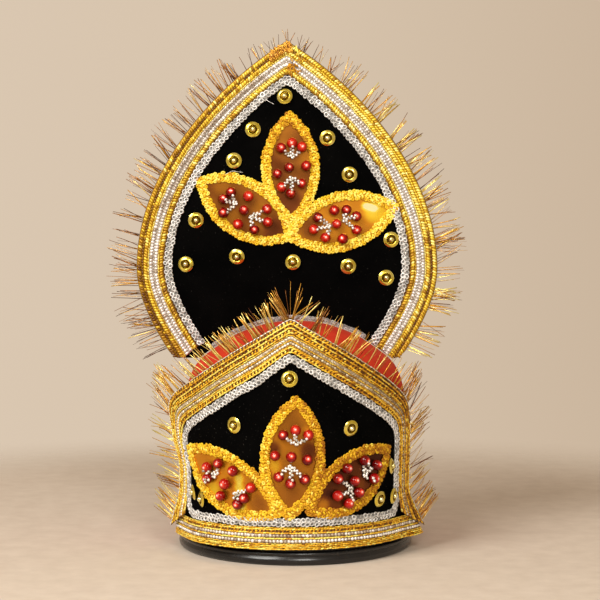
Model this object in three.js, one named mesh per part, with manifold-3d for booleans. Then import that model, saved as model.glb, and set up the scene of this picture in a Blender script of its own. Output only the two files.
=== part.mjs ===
import * as THREE from 'three';
import Module from 'manifold-3d';

const wasm = await Module();
wasm.setup();

// Sizes in millimetres. +Z is up, the front of the crown faces -Y.
const CAP_SHIFT = 6;
const CAP_HALF_WIDTH = 81;
const CAP_HALF_DEPTH = 90.5;
const CAP_WALL = 2;
const CAP_SIDES = 32;
const RING_HALF_WIDTH = 83.5;
const RING_HALF_DEPTH = 94;
const RING_HEIGHT = 14;
const GAP = 0.3;

const PANEL_SHIFT = 3;
const PANEL_HALF_WIDTH = 88;
const PANEL_HALF_DEPTH = 95;
const PANEL_ARC = 91;
const PANEL_THICK = 2.8;
const PANEL_BOTTOM = 11;
const PANEL_PEAK = 168;
const PANEL_SLOPE = 0.57;
const PANEL_SIDE = 112;
const PANEL_PINCH = 110;
const PANEL_FOOT = 117;
const PANEL_COLUMN = 9;
const FOIL_COLUMN = 14;

const PLATE_FRONT = 3;
const PLATE_THICK = 4;
const PLATE_PEAK = 359;
const PLATE_HALF_WIDTH = 107.8;
const PLATE_WIDEST = 197;
const PLATE_FOOT = { x: 85.4, z: 138 };
const PLATE_HEEL = { x: 79, z: 132.5 };

const HEADING_WIDTH = 4.2;
const HEADING_THICK = 1.3;
const LACE_INSET = 5;
const LACE_WIDTH = 15;
const LACE_THICK = 1.5;
const LACE_GAP = 0.42;
const BASE_LACE_WIDTH = 16;
const BRAID_INSET = 20.6;
const BRAID_WIDTH = 5.4;
const BRAID_THICK = 2;
const CORD_WIDTH = 6.4;
const CORD_THICK = 2.6;
const FOIL_THICK = 0.8;
const BEAD_RADIUS = 3.2;
const BEAD_SIDES = 10;
const BEAD_PETAL = 82;
const SEQUIN_RADIUS = 5.7;
const LOCK_PITCH = 10.8;
const LOCK_LENGTH = 13;
const LOCK_SPREAD = 4;

// Outside of the cap from its hem to the crown of the dome: radius and height.
const CAP_PROFILE = [
  { radius: 81, height: 14 },
  { radius: 80.6, height: 96 },
  { radius: 79, height: 108 },
  { radius: 75.6, height: 122 },
  { radius: 71, height: 130.5 },
  { radius: 62.5, height: 137 },
  { radius: 44, height: 149.5 },
  { radius: 22, height: 157.5 },
  { radius: 0, height: 160 },
];

// Stand ring section, outer bottom edge to inner bottom edge.
const RING_PROFILE = [
  { radius: 68, height: 0 },
  { radius: 81, height: 0 },
  { radius: 83.5, height: 2.5 },
  { radius: 83.5, height: 5 },
  { radius: 82.4, height: 6.2 },
  { radius: 83, height: 8 },
  { radius: 80.5, height: 9.4 },
  { radius: 80.5, height: RING_HEIGHT },
  { radius: 68, height: RING_HEIGHT },
];

// Petals: centre across and up the face, length, half width, and the way the tip points in degrees.
const PETALS = [
  { name: 'back_foil_left', face: 'plate', across: -28.4, up: 238.5, length: 78.4, half: 21, tip: 147.9 },
  { name: 'back_foil_centre', face: 'plate', across: 2.4, up: 268.1, length: 82.3, half: 20.8, tip: 91.2 },
  { name: 'back_foil_right', face: 'plate', across: 35.4, up: 229.4, length: 77.7, half: 21, tip: 15.5 },
  { name: 'front_foil_left', face: 'panel', across: -45.5, up: 56.4, length: 82, half: 19.6, tip: 152.5 },
  { name: 'front_foil_centre', face: 'panel', across: 1.4, up: 75.4, length: 81.4, half: 22.6, tip: 86.4 },
  { name: 'front_foil_right', face: 'panel', across: 44.6, up: 56.9, length: 78.1, half: 19.4, tip: 30.9 },
];

// Red beads on a petal of BEAD_PETAL length: distance towards the tip and to the left, from its centre.
const BEADS = [
  { along: 18, aside: 0 },
  { along: 14, aside: 8 },
  { along: 14, aside: -8 },
  { along: 0, aside: 0 },
  { along: -1, aside: 10 },
  { along: -1, aside: -10 },
  { along: -18.5, aside: 0 },
  { along: -15, aside: 8 },
  { along: -15, aside: -8 },
];

// Cup sequins: place across and up the face, and how far each one is lifted off the velvet.
const SEQUINS = [
  { face: 'plate', across: -1.6, up: 319.6, lift: 0 },
  { face: 'plate', across: -24.3, up: 296, lift: 0 },
  { face: 'plate', across: 28.9, up: 290, lift: 0 },
  { face: 'plate', across: -37.9, up: 273.9, lift: 0 },
  { face: 'plate', across: 44.7, up: 264, lift: 0 },
  { face: 'plate', across: -65.2, up: 231.4, lift: 0 },
  { face: 'plate', across: 74.5, up: 217.5, lift: 0 },
  { face: 'plate', across: -72.4, up: 199.9, lift: 0 },
  { face: 'plate', across: -35.9, up: 205.3, lift: 0 },
  { face: 'plate', across: 4.3, up: 201.3, lift: 0 },
  { face: 'plate', across: 43.8, up: 198.4, lift: 0 },
  { face: 'plate', across: 71, up: 190.2, lift: 0 },
  { face: 'panel', across: -0.7, up: 127.1, lift: 0 },
  { face: 'panel', across: -40.5, up: 94.9, lift: 0 },
  { face: 'panel', across: 43.3, up: 92.7, lift: 0 },
  { face: 'panel', across: -68.6, up: 40, lift: 0 },
  { face: 'panel', across: -78.3, up: 46.8, lift: 0 },
  { face: 'panel', across: 68.6, up: 42, lift: 0 },
  { face: 'panel', across: 81.6, up: 42.8, lift: 2.3 },
  { face: 'panel', across: 79.2, up: 62.8, lift: 0 },
];

const smooth = (value) => {
  const t = Math.min(1, Math.max(0, value));
  return t * t * (3 - 2 * t);
};

// A point on the flat back plate: across, up, and out from its velvet face.
const onPlate = (across, up, out) => new THREE.Vector3(across, PLATE_FRONT - out, up);

// A point on the curved front panel: along the curve from its middle, up, and out from its face.
const onPanel = (along, up, out) => {
  const turn = along / PANEL_ARC;
  const facing = new THREE.Vector2(Math.sin(turn) / PANEL_HALF_WIDTH, -Math.cos(turn) / PANEL_HALF_DEPTH);
  facing.normalize();
  const x = PANEL_SHIFT + PANEL_HALF_WIDTH * Math.sin(turn) + facing.x * out;
  const y = -PANEL_HALF_DEPTH * Math.cos(turn) + facing.y * out;
  return new THREE.Vector3(x, y, up);
};

const placeOn = { plate: onPlate, panel: onPanel };

// A closed body from its corner points and triangles, turned so that its faces look outwards.
const body = (points, triangles) => {
  const seen = new Map();
  const kept = [];
  const index = points.map((p) => {
    const key = p.toArray().map((v) => Math.round(v * 500)).join();
    if (!seen.has(key)) {
      seen.set(key, kept.length);
      kept.push(p);
    }
    return seen.get(key);
  });
  const named = triangles.map((face) => face.map((i) => index[i]));
  const whole = named.filter(([a, b, c]) => a !== b && b !== c && c !== a);
  let volume = 0;
  const cross = new THREE.Vector3();
  for (const [a, b, c] of whole) {
    volume += kept[a].dot(cross.crossVectors(kept[b], kept[c]));
  }
  const order = volume < 0 ? whole.map(([a, b, c]) => [a, c, b]) : whole;
  const geometry = new THREE.BufferGeometry();
  geometry.setFromPoints(kept);
  geometry.setIndex(order.flat());
  return geometry;
};

// One solid for each joined body, with points at the same place made one.
const toManifold = (geometry) => {
  const place = geometry.getAttribute('position');
  const mesh = new wasm.Mesh({
    numProp: 3,
    vertProperties: new Float32Array(place.array),
    triVerts: new Uint32Array(geometry.getIndex().array),
  });
  return new wasm.Manifold(mesh);
};

const fromManifold = (manifold) => {
  const mesh = manifold.getMesh();
  const geometry = new THREE.BufferGeometry();
  geometry.setAttribute('position', new THREE.BufferAttribute(new Float32Array(mesh.vertProperties), 3));
  geometry.setIndex(Array.from(mesh.triVerts));
  return geometry;
};

const fuse = (geometries) => {
  let whole = toManifold(geometries[0]);
  for (const next of geometries.slice(1)) {
    whole = whole.add(toManifold(next));
  }
  return fromManifold(whole);
};

// An oval turned body: rows of points round an upright axis, closed at the axis or on itself.
const turned = (profile, sides, depthRatio, shift) => {
  const points = [];
  const triangles = [];
  const rows = profile.map(({ radius, height }) => {
    const count = radius === 0 ? 1 : sides;
    const first = points.length;
    for (let i = 0; i < count; i += 1) {
      const angle = (i / sides) * 2 * Math.PI;
      const x = shift + radius * Math.cos(angle);
      points.push(new THREE.Vector3(x, depthRatio * radius * Math.sin(angle), height));
    }
    return { first, count };
  });
  const closes = profile[0].radius > 0;
  const bands = closes ? rows.length : rows.length - 1;
  for (let r = 0; r < bands; r += 1) {
    const low = rows[r];
    const high = rows[(r + 1) % rows.length];
    for (let i = 0; i < sides; i += 1) {
      const j = (i + 1) % sides;
      const corner = (row, k) => row.first + (row.count === 1 ? 0 : k);
      if (low.count > 1) {
        triangles.push([corner(low, i), corner(low, j), corner(high, j)]);
      }
      if (high.count > 1) {
        triangles.push([corner(low, i), corner(high, j), corner(high, i)]);
      }
    }
  }
  return body(points, triangles);
};

// A small round body standing on a face: rows of radius and height out from the face.
const studOn = (place, across, up, rows, sides) => {
  const points = [];
  const triangles = [];
  const ring = (radius, out) => {
    for (let i = 0; i < sides; i += 1) {
      const angle = (i / sides) * 2 * Math.PI;
      points.push(place(across + radius * Math.cos(angle), up + radius * Math.sin(angle), out));
    }
  };
  rows.forEach(({ radius, out }) => ring(radius, out));
  const foot = points.length;
  points.push(place(across, up, rows[0].out));
  const top = points.length;
  points.push(place(across, up, rows[rows.length - 1].crown));
  for (let i = 0; i < sides; i += 1) {
    const j = (i + 1) % sides;
    triangles.push([foot, j, i]);
    for (let r = 0; r + 1 < rows.length; r += 1) {
      const low = r * sides;
      const high = low + sides;
      triangles.push([low + i, low + j, high + j]);
      triangles.push([low + i, high + j, high + i]);
    }
    const last = (rows.length - 1) * sides;
    triangles.push([last + i, last + j, top]);
  }
  return body(points, triangles);
};

// The outline with a corner added wherever it crosses one of the upright cutting lines.
const withCrossings = (outline, cuts) => {
  const result = [];
  outline.forEach((from, i) => {
    const to = outline[(i + 1) % outline.length];
    result.push(from);
    const between = cuts.filter((cut) => (cut - from.x) * (cut - to.x) < -1e-6);
    between.sort((a, b) => Math.abs(a - from.x) - Math.abs(b - from.x));
    for (const cut of between) {
      const t = (cut - from.x) / (to.x - from.x);
      result.push(new THREE.Vector2(cut, from.y + t * (to.y - from.y)));
    }
  });
  return result;
};

// A sheet of even thickness laid on a face, in upright strips so that it bends with the face.
const sheetOn = (place, outline, cuts, low, high) => {
  const edge = withCrossings(outline, cuts);
  const count = edge.length;
  const points = [low, high].flatMap((out) => edge.map((p) => place(p.x, p.y, out)));
  const triangles = [];
  const bounds = [-1e4, ...cuts, 1e4];
  for (let k = 0; k + 1 < bounds.length; k += 1) {
    const inStrip = (p) => p.x > bounds[k] - 1e-6 && p.x < bounds[k + 1] + 1e-6;
    const members = edge.map((p, i) => i).filter((i) => inStrip(edge[i]));
    const corners = members.map((i) => edge[i]);
    const wide = corners.some((p) => p.x > bounds[k] + 1e-5 && p.x < bounds[k + 1] - 1e-5);
    const spans = new Set(corners.map((p) => Math.round(p.x * 1e4))).size > 1;
    if (corners.length > 2 && (wide || spans)) {
      for (const face of THREE.ShapeUtils.triangulateShape(corners, [])) {
        const [a, b, c] = face.map((i) => members[i]);
        triangles.push([a, c, b]);
        triangles.push([a + count, b + count, c + count]);
      }
    }
  }
  for (let i = 0; i < count; i += 1) {
    const j = (i + 1) % count;
    triangles.push([i, j, j + count]);
    triangles.push([i, j + count, i + count]);
  }
  return body(points, triangles);
};

// Left-hand normals of a line, lengthened at corners so that an offset line keeps its distance.
const mitres = (line, closed) => line.map((p, i) => {
  const last = line.length - 1;
  const before = i > 0 ? line[i - 1] : (closed ? line[last] : null);
  const after = i < last ? line[i + 1] : (closed ? line[0] : null);
  const into = before ? p.clone().sub(before).normalize() : after.clone().sub(p).normalize();
  const away = after ? after.clone().sub(p).normalize() : into;
  const a = new THREE.Vector2(-into.y, into.x);
  const b = new THREE.Vector2(-away.y, away.x);
  return a.clone().add(b).divideScalar(1 + a.dot(b));
});

// Shortest distance from a point to a line of straight runs.
const distanceTo = (point, line, closed) => {
  let least = Infinity;
  const runs = closed ? line.length : line.length - 1;
  for (let i = 0; i < runs; i += 1) {
    const from = line[i];
    const along = line[(i + 1) % line.length].clone().sub(from);
    const t = point.clone().sub(from).dot(along) / along.lengthSq();
    const foot = from.clone().addScaledVector(along, Math.min(1, Math.max(0, t)));
    least = Math.min(least, foot.distanceTo(point));
  }
  return least;
};

// A line drawn in by a distance, point for point; where a tight corner would fold, points gather in it.
const drawnIn = (line, distance, closed) => {
  const sides = mitres(line, closed);
  const moved = line.map((p, i) => p.clone().addScaledVector(sides[i], distance));
  const clear = moved.map((p) => distanceTo(p, line, closed) > Math.abs(distance) * 0.985 - 0.001);
  const count = line.length;
  return moved.map((p, i) => {
    if (clear[i]) {
      return p;
    }
    let before = i;
    let after = i;
    while (!clear[before]) {
      before = (before + count - 1) % count;
    }
    while (!clear[after]) {
      after = (after + 1) % count;
    }
    return moved[before].clone().lerp(moved[after], 0.5);
  });
};

// Points at an even spacing along a line, with its sharp corners kept.
const evenly = (line, step) => {
  const result = [line[0].clone()];
  let start = 0;
  const turnAt = (i) => {
    const into = line[i].clone().sub(line[i - 1]);
    const away = line[i + 1].clone().sub(line[i]);
    return Math.abs(into.angleTo(away));
  };
  for (let i = 1; i < line.length; i += 1) {
    if (i === line.length - 1 || turnAt(i) > 0.5) {
      const run = line.slice(start, i + 1);
      const lengths = run.map((p, k) => (k === 0 ? 0 : p.distanceTo(run[k - 1])));
      const total = lengths.reduce((a, b) => a + b, 0);
      const count = Math.max(1, Math.round(total / step));
      let k = 1;
      let passed = 0;
      for (let n = 1; n <= count; n += 1) {
        const want = (total * n) / count;
        while (k < run.length - 1 && passed + lengths[k] < want - 1e-9) {
          passed += lengths[k];
          k += 1;
        }
        const t = Math.min(1, (want - passed) / lengths[k]);
        result.push(run[k - 1].clone().lerp(run[k], t));
      }
      start = i;
    }
  }
  return result;
};

// A band of constant section along a line on a face: section points go aside (left) and out.
const bandOn = (place, line, section, closed) => {
  const rails = section.map(({ aside }) => drawnIn(line, aside, closed));
  const points = [];
  const triangles = [];
  const size = section.length;
  line.forEach((p, i) => {
    section.forEach(({ out }, j) => points.push(place(rails[j][i].x, rails[j][i].y, out)));
  });
  const steps = closed ? line.length : line.length - 1;
  for (let i = 0; i < steps; i += 1) {
    const here = i * size;
    const next = ((i + 1) % line.length) * size;
    for (let j = 0; j < size; j += 1) {
      const k = (j + 1) % size;
      triangles.push([here + j, here + k, next + k]);
      triangles.push([here + j, next + k, next + j]);
    }
  }
  if (!closed) {
    const flat = section.map(({ aside, out }) => new THREE.Vector2(aside, out));
    const end = (line.length - 1) * size;
    for (const [a, b, c] of THREE.ShapeUtils.triangulateShape(flat, [])) {
      triangles.push([a, c, b]);
      triangles.push([end + a, end + b, end + c]);
    }
  }
  return body(points, triangles);
};

// Sections of the trims, from the edge of the face inwards.
const laceSection = (near, width) => [
  { aside: near, out: LACE_GAP },
  { aside: near + width, out: LACE_GAP },
  { aside: near + width - 1.2, out: GAP + LACE_THICK },
  { aside: near + width / 2, out: GAP + LACE_THICK - 0.3 },
  { aside: near + 1.2, out: GAP + LACE_THICK },
];

const domedSection = (near, width, thick) => [
  { aside: near, out: GAP },
  { aside: near + width, out: GAP },
  { aside: near + width * 0.75, out: GAP + thick },
  { aside: near + width * 0.25, out: GAP + thick },
];

const mirrored = (half) => {
  const other = half.slice(0, -1).reverse().map((p) => new THREE.Vector2(-p.x, p.y));
  return [...half, ...other];
};

// Right half of the plate's edge from its foot up to the peak, then the whole edge.
const plateHalf = () => {
  const path = new THREE.Path();
  path.moveTo(PLATE_FOOT.x, PLATE_FOOT.z);
  path.bezierCurveTo(98, 158, PLATE_HALF_WIDTH, 178, PLATE_HALF_WIDTH, PLATE_WIDEST);
  path.bezierCurveTo(108, 268, 48, 330, 0, PLATE_PEAK);
  return path.getPoints(18).map((p) => new THREE.Vector2(p.x, p.y));
};

// Right half of the panel's edge from its bottom corner up to the peak.
const panelHalf = (bottom) => {
  const shoulder = PANEL_PEAK - PANEL_SLOPE * 93;
  const path = new THREE.Path();
  path.moveTo(PANEL_FOOT, bottom);
  path.bezierCurveTo(PANEL_FOOT - 3, bottom + 14, PANEL_PINCH, 34, PANEL_PINCH, 48);
  path.bezierCurveTo(PANEL_PINCH, 62, PANEL_SIDE, 70, PANEL_SIDE, 84);
  path.bezierCurveTo(PANEL_SIDE, 100, 107, 107, 93, shoulder);
  path.lineTo(0, PANEL_PEAK);
  return path.getPoints(8).map((p) => new THREE.Vector2(p.x, p.y));
};

// Height of the cap's outside above a place in the plan.
const capTop = (x, y) => {
  const reach = Math.hypot((x - CAP_SHIFT) / CAP_HALF_WIDTH, y / CAP_HALF_DEPTH) * CAP_HALF_WIDTH;
  for (let i = 1; i < CAP_PROFILE.length; i += 1) {
    const outer = CAP_PROFILE[i - 1];
    const inner = CAP_PROFILE[i];
    if (reach <= outer.radius && reach >= inner.radius) {
      const t = (outer.radius - reach) / (outer.radius - inner.radius);
      return outer.height + t * (inner.height - outer.height);
    }
  }
  return 0;
};

const plateSole = (x) => Math.max(capTop(x, PLATE_FRONT) + GAP, PLATE_HEEL.z);

const plateEdge = evenly(mirrored(plateHalf()), 11);
const panelEdge = evenly(mirrored(panelHalf(PANEL_BOTTOM)), 9);

const plateOutline = () => {
  const sole = [new THREE.Vector2(-PLATE_HEEL.x, PLATE_HEEL.z)];
  for (let x = -72; x <= 72; x += 6) {
    sole.push(new THREE.Vector2(x, plateSole(x)));
  }
  sole.push(new THREE.Vector2(PLATE_HEEL.x, PLATE_HEEL.z));
  return [...plateEdge, ...sole];
};

const columns = (reach, step) => {
  const result = [];
  for (let k = -Math.floor(reach / step); k <= Math.floor(reach / step); k += 1) {
    result.push(k * step);
  }
  return result;
};

// The part of an edge line above a height, with its ends set on that height.
const above = (line, height) => {
  const kept = line.filter((p) => p.y > height + 1);
  const meet = (inside, outside) => {
    const t = (height - inside.y) / (outside.y - inside.y);
    return inside.clone().lerp(outside, t);
  };
  const first = line.indexOf(kept[0]);
  const last = line.indexOf(kept[kept.length - 1]);
  const start = meet(line[first], line[first - 1]);
  const end = meet(line[last], line[last + 1]);
  return [start, ...kept, end];
};

// Almond outline of a petal, drawn in by a distance, starting at its tip.
const petalLine = (petal, drawnIn, steps) => {
  const reach = petal.length / 2;
  const bow = (reach * reach + petal.half * petal.half) / (2 * petal.half) - drawnIn;
  const offset = bow + drawnIn - petal.half;
  const sweep = Math.acos(offset / bow);
  const turn = (petal.tip * Math.PI) / 180;
  const line = [];
  for (const side of [1, -1]) {
    for (let i = 0; i < steps; i += 1) {
      const angle = sweep * (1 - (2 * i) / steps);
      const along = side * bow * Math.sin(angle);
      const aside = side * (bow * Math.cos(angle) - offset);
      line.push(new THREE.Vector2(along, aside));
    }
  }
  return line.map((p) => new THREE.Vector2(
    petal.across + p.x * Math.cos(turn) - p.y * Math.sin(turn),
    petal.up + p.x * Math.sin(turn) + p.y * Math.cos(turn),
  ));
};

// Tinsel in locks on a flat heading along an edge line; lean tips the locks towards the viewer.
const fringeOn = (place, line, lean) => {
  const run = evenly(line, LOCK_PITCH / 2);
  const sides = mitres(run, false);
  const points = [];
  const triangles = [];
  run.forEach((p, i) => {
    const inner = p.clone().addScaledVector(sides[i], HEADING_WIDTH);
    const tooth = i % 2 === 1 && i < run.length - 1;
    const length = tooth ? LOCK_LENGTH + LOCK_SPREAD * Math.sin(2.4 * i) : 0.2;
    const reach = p.clone().addScaledVector(sides[i].clone().normalize(), -1);
    const root = place(p.x, p.y, GAP);
    const away = place(reach.x, reach.y, GAP).sub(root);
    const facing = place(p.x, p.y, GAP + 1).sub(root);
    away.addScaledVector(facing, lean(p)).normalize();
    const thick = tooth ? 0.6 : HEADING_THICK;
    points.push(place(inner.x, inner.y, GAP));
    points.push(place(inner.x, inner.y, GAP + HEADING_THICK));
    points.push(root.clone().addScaledVector(away, length).addScaledVector(facing, thick));
    points.push(root.clone().addScaledVector(away, length));
    if (i > 0) {
      const b = i * 4;
      const a = b - 4;
      for (let j = 0; j < 3; j += 1) {
        triangles.push([a + j, a + j + 1, b + j + 1]);
        triangles.push([a + j, b + j + 1, b + j]);
      }
      triangles.push([a + 3, a, b + 3]);
      triangles.push([a, b, b + 3]);
    }
  });
  const end = points.length - 4;
  triangles.push([0, 2, 1]);
  triangles.push([0, 3, 2]);
  triangles.push([end, end + 1, end + 2]);
  triangles.push([end, end + 2, end + 3]);
  return body(points, triangles);
};

const crown = new THREE.Group();
crown.name = 'costume_crown';

const finish = (color, roughness, metalness) => (
  new THREE.MeshStandardMaterial({ color, roughness, metalness })
);

const add = (name, geometry, material) => {
  const mesh = new THREE.Mesh(geometry, material);
  mesh.name = name;
  crown.add(mesh);
};

const velvet = () => finish(0x0a0909, 0.95, 0);
const redCloth = () => finish(0xc8321f, 0.9, 0);
const blackPlastic = () => finish(0x111112, 0.35, 0);
const goldThread = () => finish(0xc79a3c, 0.35, 1);
const silverThread = () => finish(0xc9c7c0, 0.35, 1);
const goldFilm = () => finish(0xd9ad45, 0.2, 1);

// Stand ring and cap.
add('stand_ring', turned(RING_PROFILE, 32, RING_HALF_DEPTH / RING_HALF_WIDTH, CAP_SHIFT), blackPlastic());
const hem = CAP_PROFILE.map(({ radius, height }, i) => (
  { radius, height: i === 0 ? RING_HEIGHT + GAP : height }
));
const lining = hem.filter((row, i) => i % 2 === 0).map(({ radius, height }, i) => {
  const high = i === 0 ? 0 : CAP_WALL * smooth((height - 96) / 40);
  return { radius: Math.max(0, radius - CAP_WALL), height: height - high };
});
const capRows = [...lining.reverse(), ...hem];
add('cap', turned(capRows, CAP_SIDES, CAP_HALF_DEPTH / CAP_HALF_WIDTH, CAP_SHIFT), redCloth());

// Front panel with its trims.
const panelColumns = columns(PANEL_FOOT, PANEL_COLUMN);
add('front_panel', sheetOn(onPanel, panelEdge, panelColumns, -PANEL_THICK, 0), velvet());
const baseTop = PANEL_BOTTOM + BASE_LACE_WIDTH + GAP;
const panelRun = above(panelEdge, baseTop + 4);
add('front_lace', bandOn(onPanel, panelRun, laceSection(LACE_INSET, LACE_WIDTH), false), goldThread());
const baseLine = panelColumns.map((x) => new THREE.Vector2(x, PANEL_BOTTOM));
add('front_base_lace', bandOn(onPanel, baseLine, laceSection(0, BASE_LACE_WIDTH), false), goldThread());
const fieldEdge = mirrored(panelHalf(PANEL_BOTTOM - 4));
const fieldLine = evenly([...fieldEdge, fieldEdge[0]], 10).slice(0, -1);
const fieldSection = domedSection(BRAID_INSET, BRAID_WIDTH, BRAID_THICK);
add('front_silver_braid', bandOn(onPanel, fieldLine, fieldSection, true), silverThread());
const sideLean = (p) => 0.15 + 1.1 * smooth(Math.abs(p.x) / PANEL_SIDE);
add('front_fringe', fringeOn(onPanel, panelRun, sideLean), goldThread());

// Back plate with its trims.
add('back_plate', sheetOn(onPlate, plateOutline(), [], -PLATE_THICK, 0), velvet());
add('back_lace', bandOn(onPlate, plateEdge, laceSection(LACE_INSET, LACE_WIDTH), false), goldThread());
add('back_silver_braid', bandOn(onPlate, plateEdge, fieldSection, false), silverThread());
const seamLine = columns(58, 7).map((x) => new THREE.Vector2(x, plateSole(x) + GAP));
const seamSection = domedSection(0, BRAID_WIDTH, BRAID_THICK);
add('seam_braid', bandOn(onPlate, seamLine, seamSection, false), silverThread());
add('back_fringe', fringeOn(onPlate, plateEdge, () => 0.05), goldThread());

// Petals: one run of braid round each set of three, and beaded gold film inside each.
for (const face of ['plate', 'panel']) {
  const rings = PETALS.filter((petal) => petal.face === face).map((petal) => {
    const line = petalLine(petal, 0, 10);
    return bandOn(placeOn[face], line, domedSection(0, CORD_WIDTH, CORD_THICK), true);
  });
  const name = face === 'plate' ? 'back_petal_braid' : 'front_petal_braid';
  add(name, fuse(rings), goldThread());
}
const beadRows = [
  { radius: BEAD_RADIUS * 0.86, out: GAP + FOIL_THICK / 2 },
  { radius: BEAD_RADIUS, out: GAP + FOIL_THICK + 2, crown: GAP + FOIL_THICK + 4.6 },
];
for (const petal of PETALS) {
  const place = placeOn[petal.face];
  const outline = petalLine(petal, CORD_WIDTH + GAP, 10);
  const cuts = petal.face === 'panel' ? columns(PANEL_FOOT, FOIL_COLUMN) : [];
  const film = sheetOn(place, outline, cuts, GAP, GAP + FOIL_THICK);
  const turn = (petal.tip * Math.PI) / 180;
  const share = petal.length / BEAD_PETAL;
  const beads = BEADS.map(({ along, aside }) => {
    const x = petal.across + share * (along * Math.cos(turn) - aside * Math.sin(turn));
    const z = petal.up + share * (along * Math.sin(turn) + aside * Math.cos(turn));
    return studOn(place, x, z, beadRows, BEAD_SIDES);
  });
  add(petal.name, fuse([film, ...beads]), goldFilm());
}

// Cup sequins, each with a bead in its middle.
const tally = { plate: 0, panel: 0 };
for (const { face, across, up, lift } of SEQUINS) {
  tally[face] += 1;
  const low = GAP + lift;
  const rows = [
    { radius: SEQUIN_RADIUS * 0.6, out: low },
    { radius: SEQUIN_RADIUS, out: low + 1.8 },
    { radius: SEQUIN_RADIUS * 0.36, out: low + 0.9 },
    { radius: SEQUIN_RADIUS * 0.24, out: low + 2.3, crown: low + 2.8 },
  ];
  const number = String(tally[face]).padStart(2, '0');
  const name = (face === 'plate' ? 'back_sequin_' : 'front_sequin_') + number;
  add(name, studOn(placeOn[face], across, up, rows, 10), goldFilm());
}

// The origin lies under the middle of the footprint, on the surface the stand rests on.
const box = new THREE.Box3().setFromObject(crown);
const middle = box.getCenter(new THREE.Vector3());
for (const mesh of crown.children) {
  mesh.geometry.translate(-middle.x, -middle.y, -box.min.z);
}

export default crown;
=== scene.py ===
import math
import bpy
import numpy as np
from mathutils import Matrix, Vector


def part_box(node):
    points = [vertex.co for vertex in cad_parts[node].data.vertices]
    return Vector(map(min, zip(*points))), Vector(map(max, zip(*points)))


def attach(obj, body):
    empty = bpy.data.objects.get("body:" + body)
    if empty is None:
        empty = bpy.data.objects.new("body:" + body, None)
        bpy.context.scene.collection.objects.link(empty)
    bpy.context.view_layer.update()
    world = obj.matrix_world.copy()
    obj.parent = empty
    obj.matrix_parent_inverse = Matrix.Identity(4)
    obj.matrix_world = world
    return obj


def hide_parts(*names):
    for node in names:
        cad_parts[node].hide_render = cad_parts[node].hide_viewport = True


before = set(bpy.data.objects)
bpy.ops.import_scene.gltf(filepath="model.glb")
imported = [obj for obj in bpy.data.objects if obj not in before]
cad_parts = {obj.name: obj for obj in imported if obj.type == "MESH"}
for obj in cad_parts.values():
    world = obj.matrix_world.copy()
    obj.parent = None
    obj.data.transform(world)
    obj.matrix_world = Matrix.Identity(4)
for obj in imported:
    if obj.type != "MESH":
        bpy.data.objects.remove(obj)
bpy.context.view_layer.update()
MM = 0.001
rng = np.random.default_rng(41)

# Sizes shared with the solids, in millimetres. Profiles hold radius and height.
CAP_SHIFT, CAP_RADIUS = 6.0, 81.0
CAP_RATIO = 90.5 / CAP_RADIUS
RING_RATIO = 94.0 / 83.5
CAP_PROFILE = [(81, 14.3), (80.9, 40), (80.8, 70), (80.6, 96), (79, 108), (75.6, 122), (71, 130.5),
               (62.5, 137), (44, 149.5), (22, 157.5), (0, 160)]
RING_PROFILE = [(69.2, 0), (81, 0), (82.2, 0.5), (83.2, 1.6), (83.5, 3), (83.3, 4.4), (82.6, 5.5),
                (82.3, 6.1), (82.7, 6.8), (82.9, 7.7), (82.5, 8.7), (81.4, 9.3), (80.6, 9.6), (80.5, 11),
                (80.5, 13.2), (79.9, 13.9), (70, 13.9), (68.4, 13.2), (68, 11), (68, 3), (68.3, 1),
                (69.2, 0)]
PANEL_SHIFT, PANEL_HALF_WIDTH, PANEL_HALF_DEPTH, PANEL_ARC = 3.0, 88.0, 95.0, 91.0
PANEL_BOTTOM, PANEL_WAIST, PANEL_TOP, PANEL_PEAK = 11.0, 48.0, 84.0, 168.0
PANEL_SIDE, PANEL_PINCH, PANEL_FOOT, PANEL_SHOULDER = 112.0, 110.0, 117.0, 93.0
PANEL_SLOPE, PANEL_THICK = 0.57, 2.8
PLATE_FRONT, PLATE_THICK, PLATE_PEAK = 3.0, 4.0, 359.0
PLATE_HALF_WIDTH, PLATE_WIDEST = 107.8, 197.0
PLATE_FOOT, PLATE_HEEL = (85.4, 138.0), (79.0, 132.5)
SOLE_GAP = 0.3
BASE_TRIM_WIDTH = 16.0
PETAL_BRAID_WIDTH = 6.4

# The panel's left side is drawn in low down and leans out at the shoulder: how far, the height where
# that starts and the reach over which it grows. Then where it starts on the way round, and its reach.
LEFT_PULL, LEFT_LEAN, LEFT_SIDE = (4.8, 86, 28), (4.0, 82, 28), (66, 42)
# Kick of the trims' lower ends: top, foot, lift and curve, how far the left and right ends go, and where
# the lift and the kick start on the way round, with their reach.
KICK_TOP, KICK_FOOT, KICK_LIFT, KICK_CURVE = 46.0, 16.0, 1.8, 1.8
KICK_SIDES = {"side_trim": (3.5, 8.5), "base_trim": (0.5, 6.0)}
LIFT_FROM, KICK_FROM = (60, 20), (84, 30)
# Where the rounding of the panel's lines starts on the way round, and its reach.
EASE_FROM = (40, 25)
# Puckers in the cap's cloth: depth, number round the cap, and height over which they twist. Then their
# strength, the give of the cloth, the radius both are a share of, and where and how fast it gets loose.
PUCKERS = [(0.5, 5, 21), (0.35, 11, -13), (0.3, 3, 8)]
PUCKER_STRENGTH, CLOTH_GIVE, CLOTH_RADIUS, LOOSE_FROM, LOOSE_REACH = 0.55, 0.6, 80, 20, 60

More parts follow.
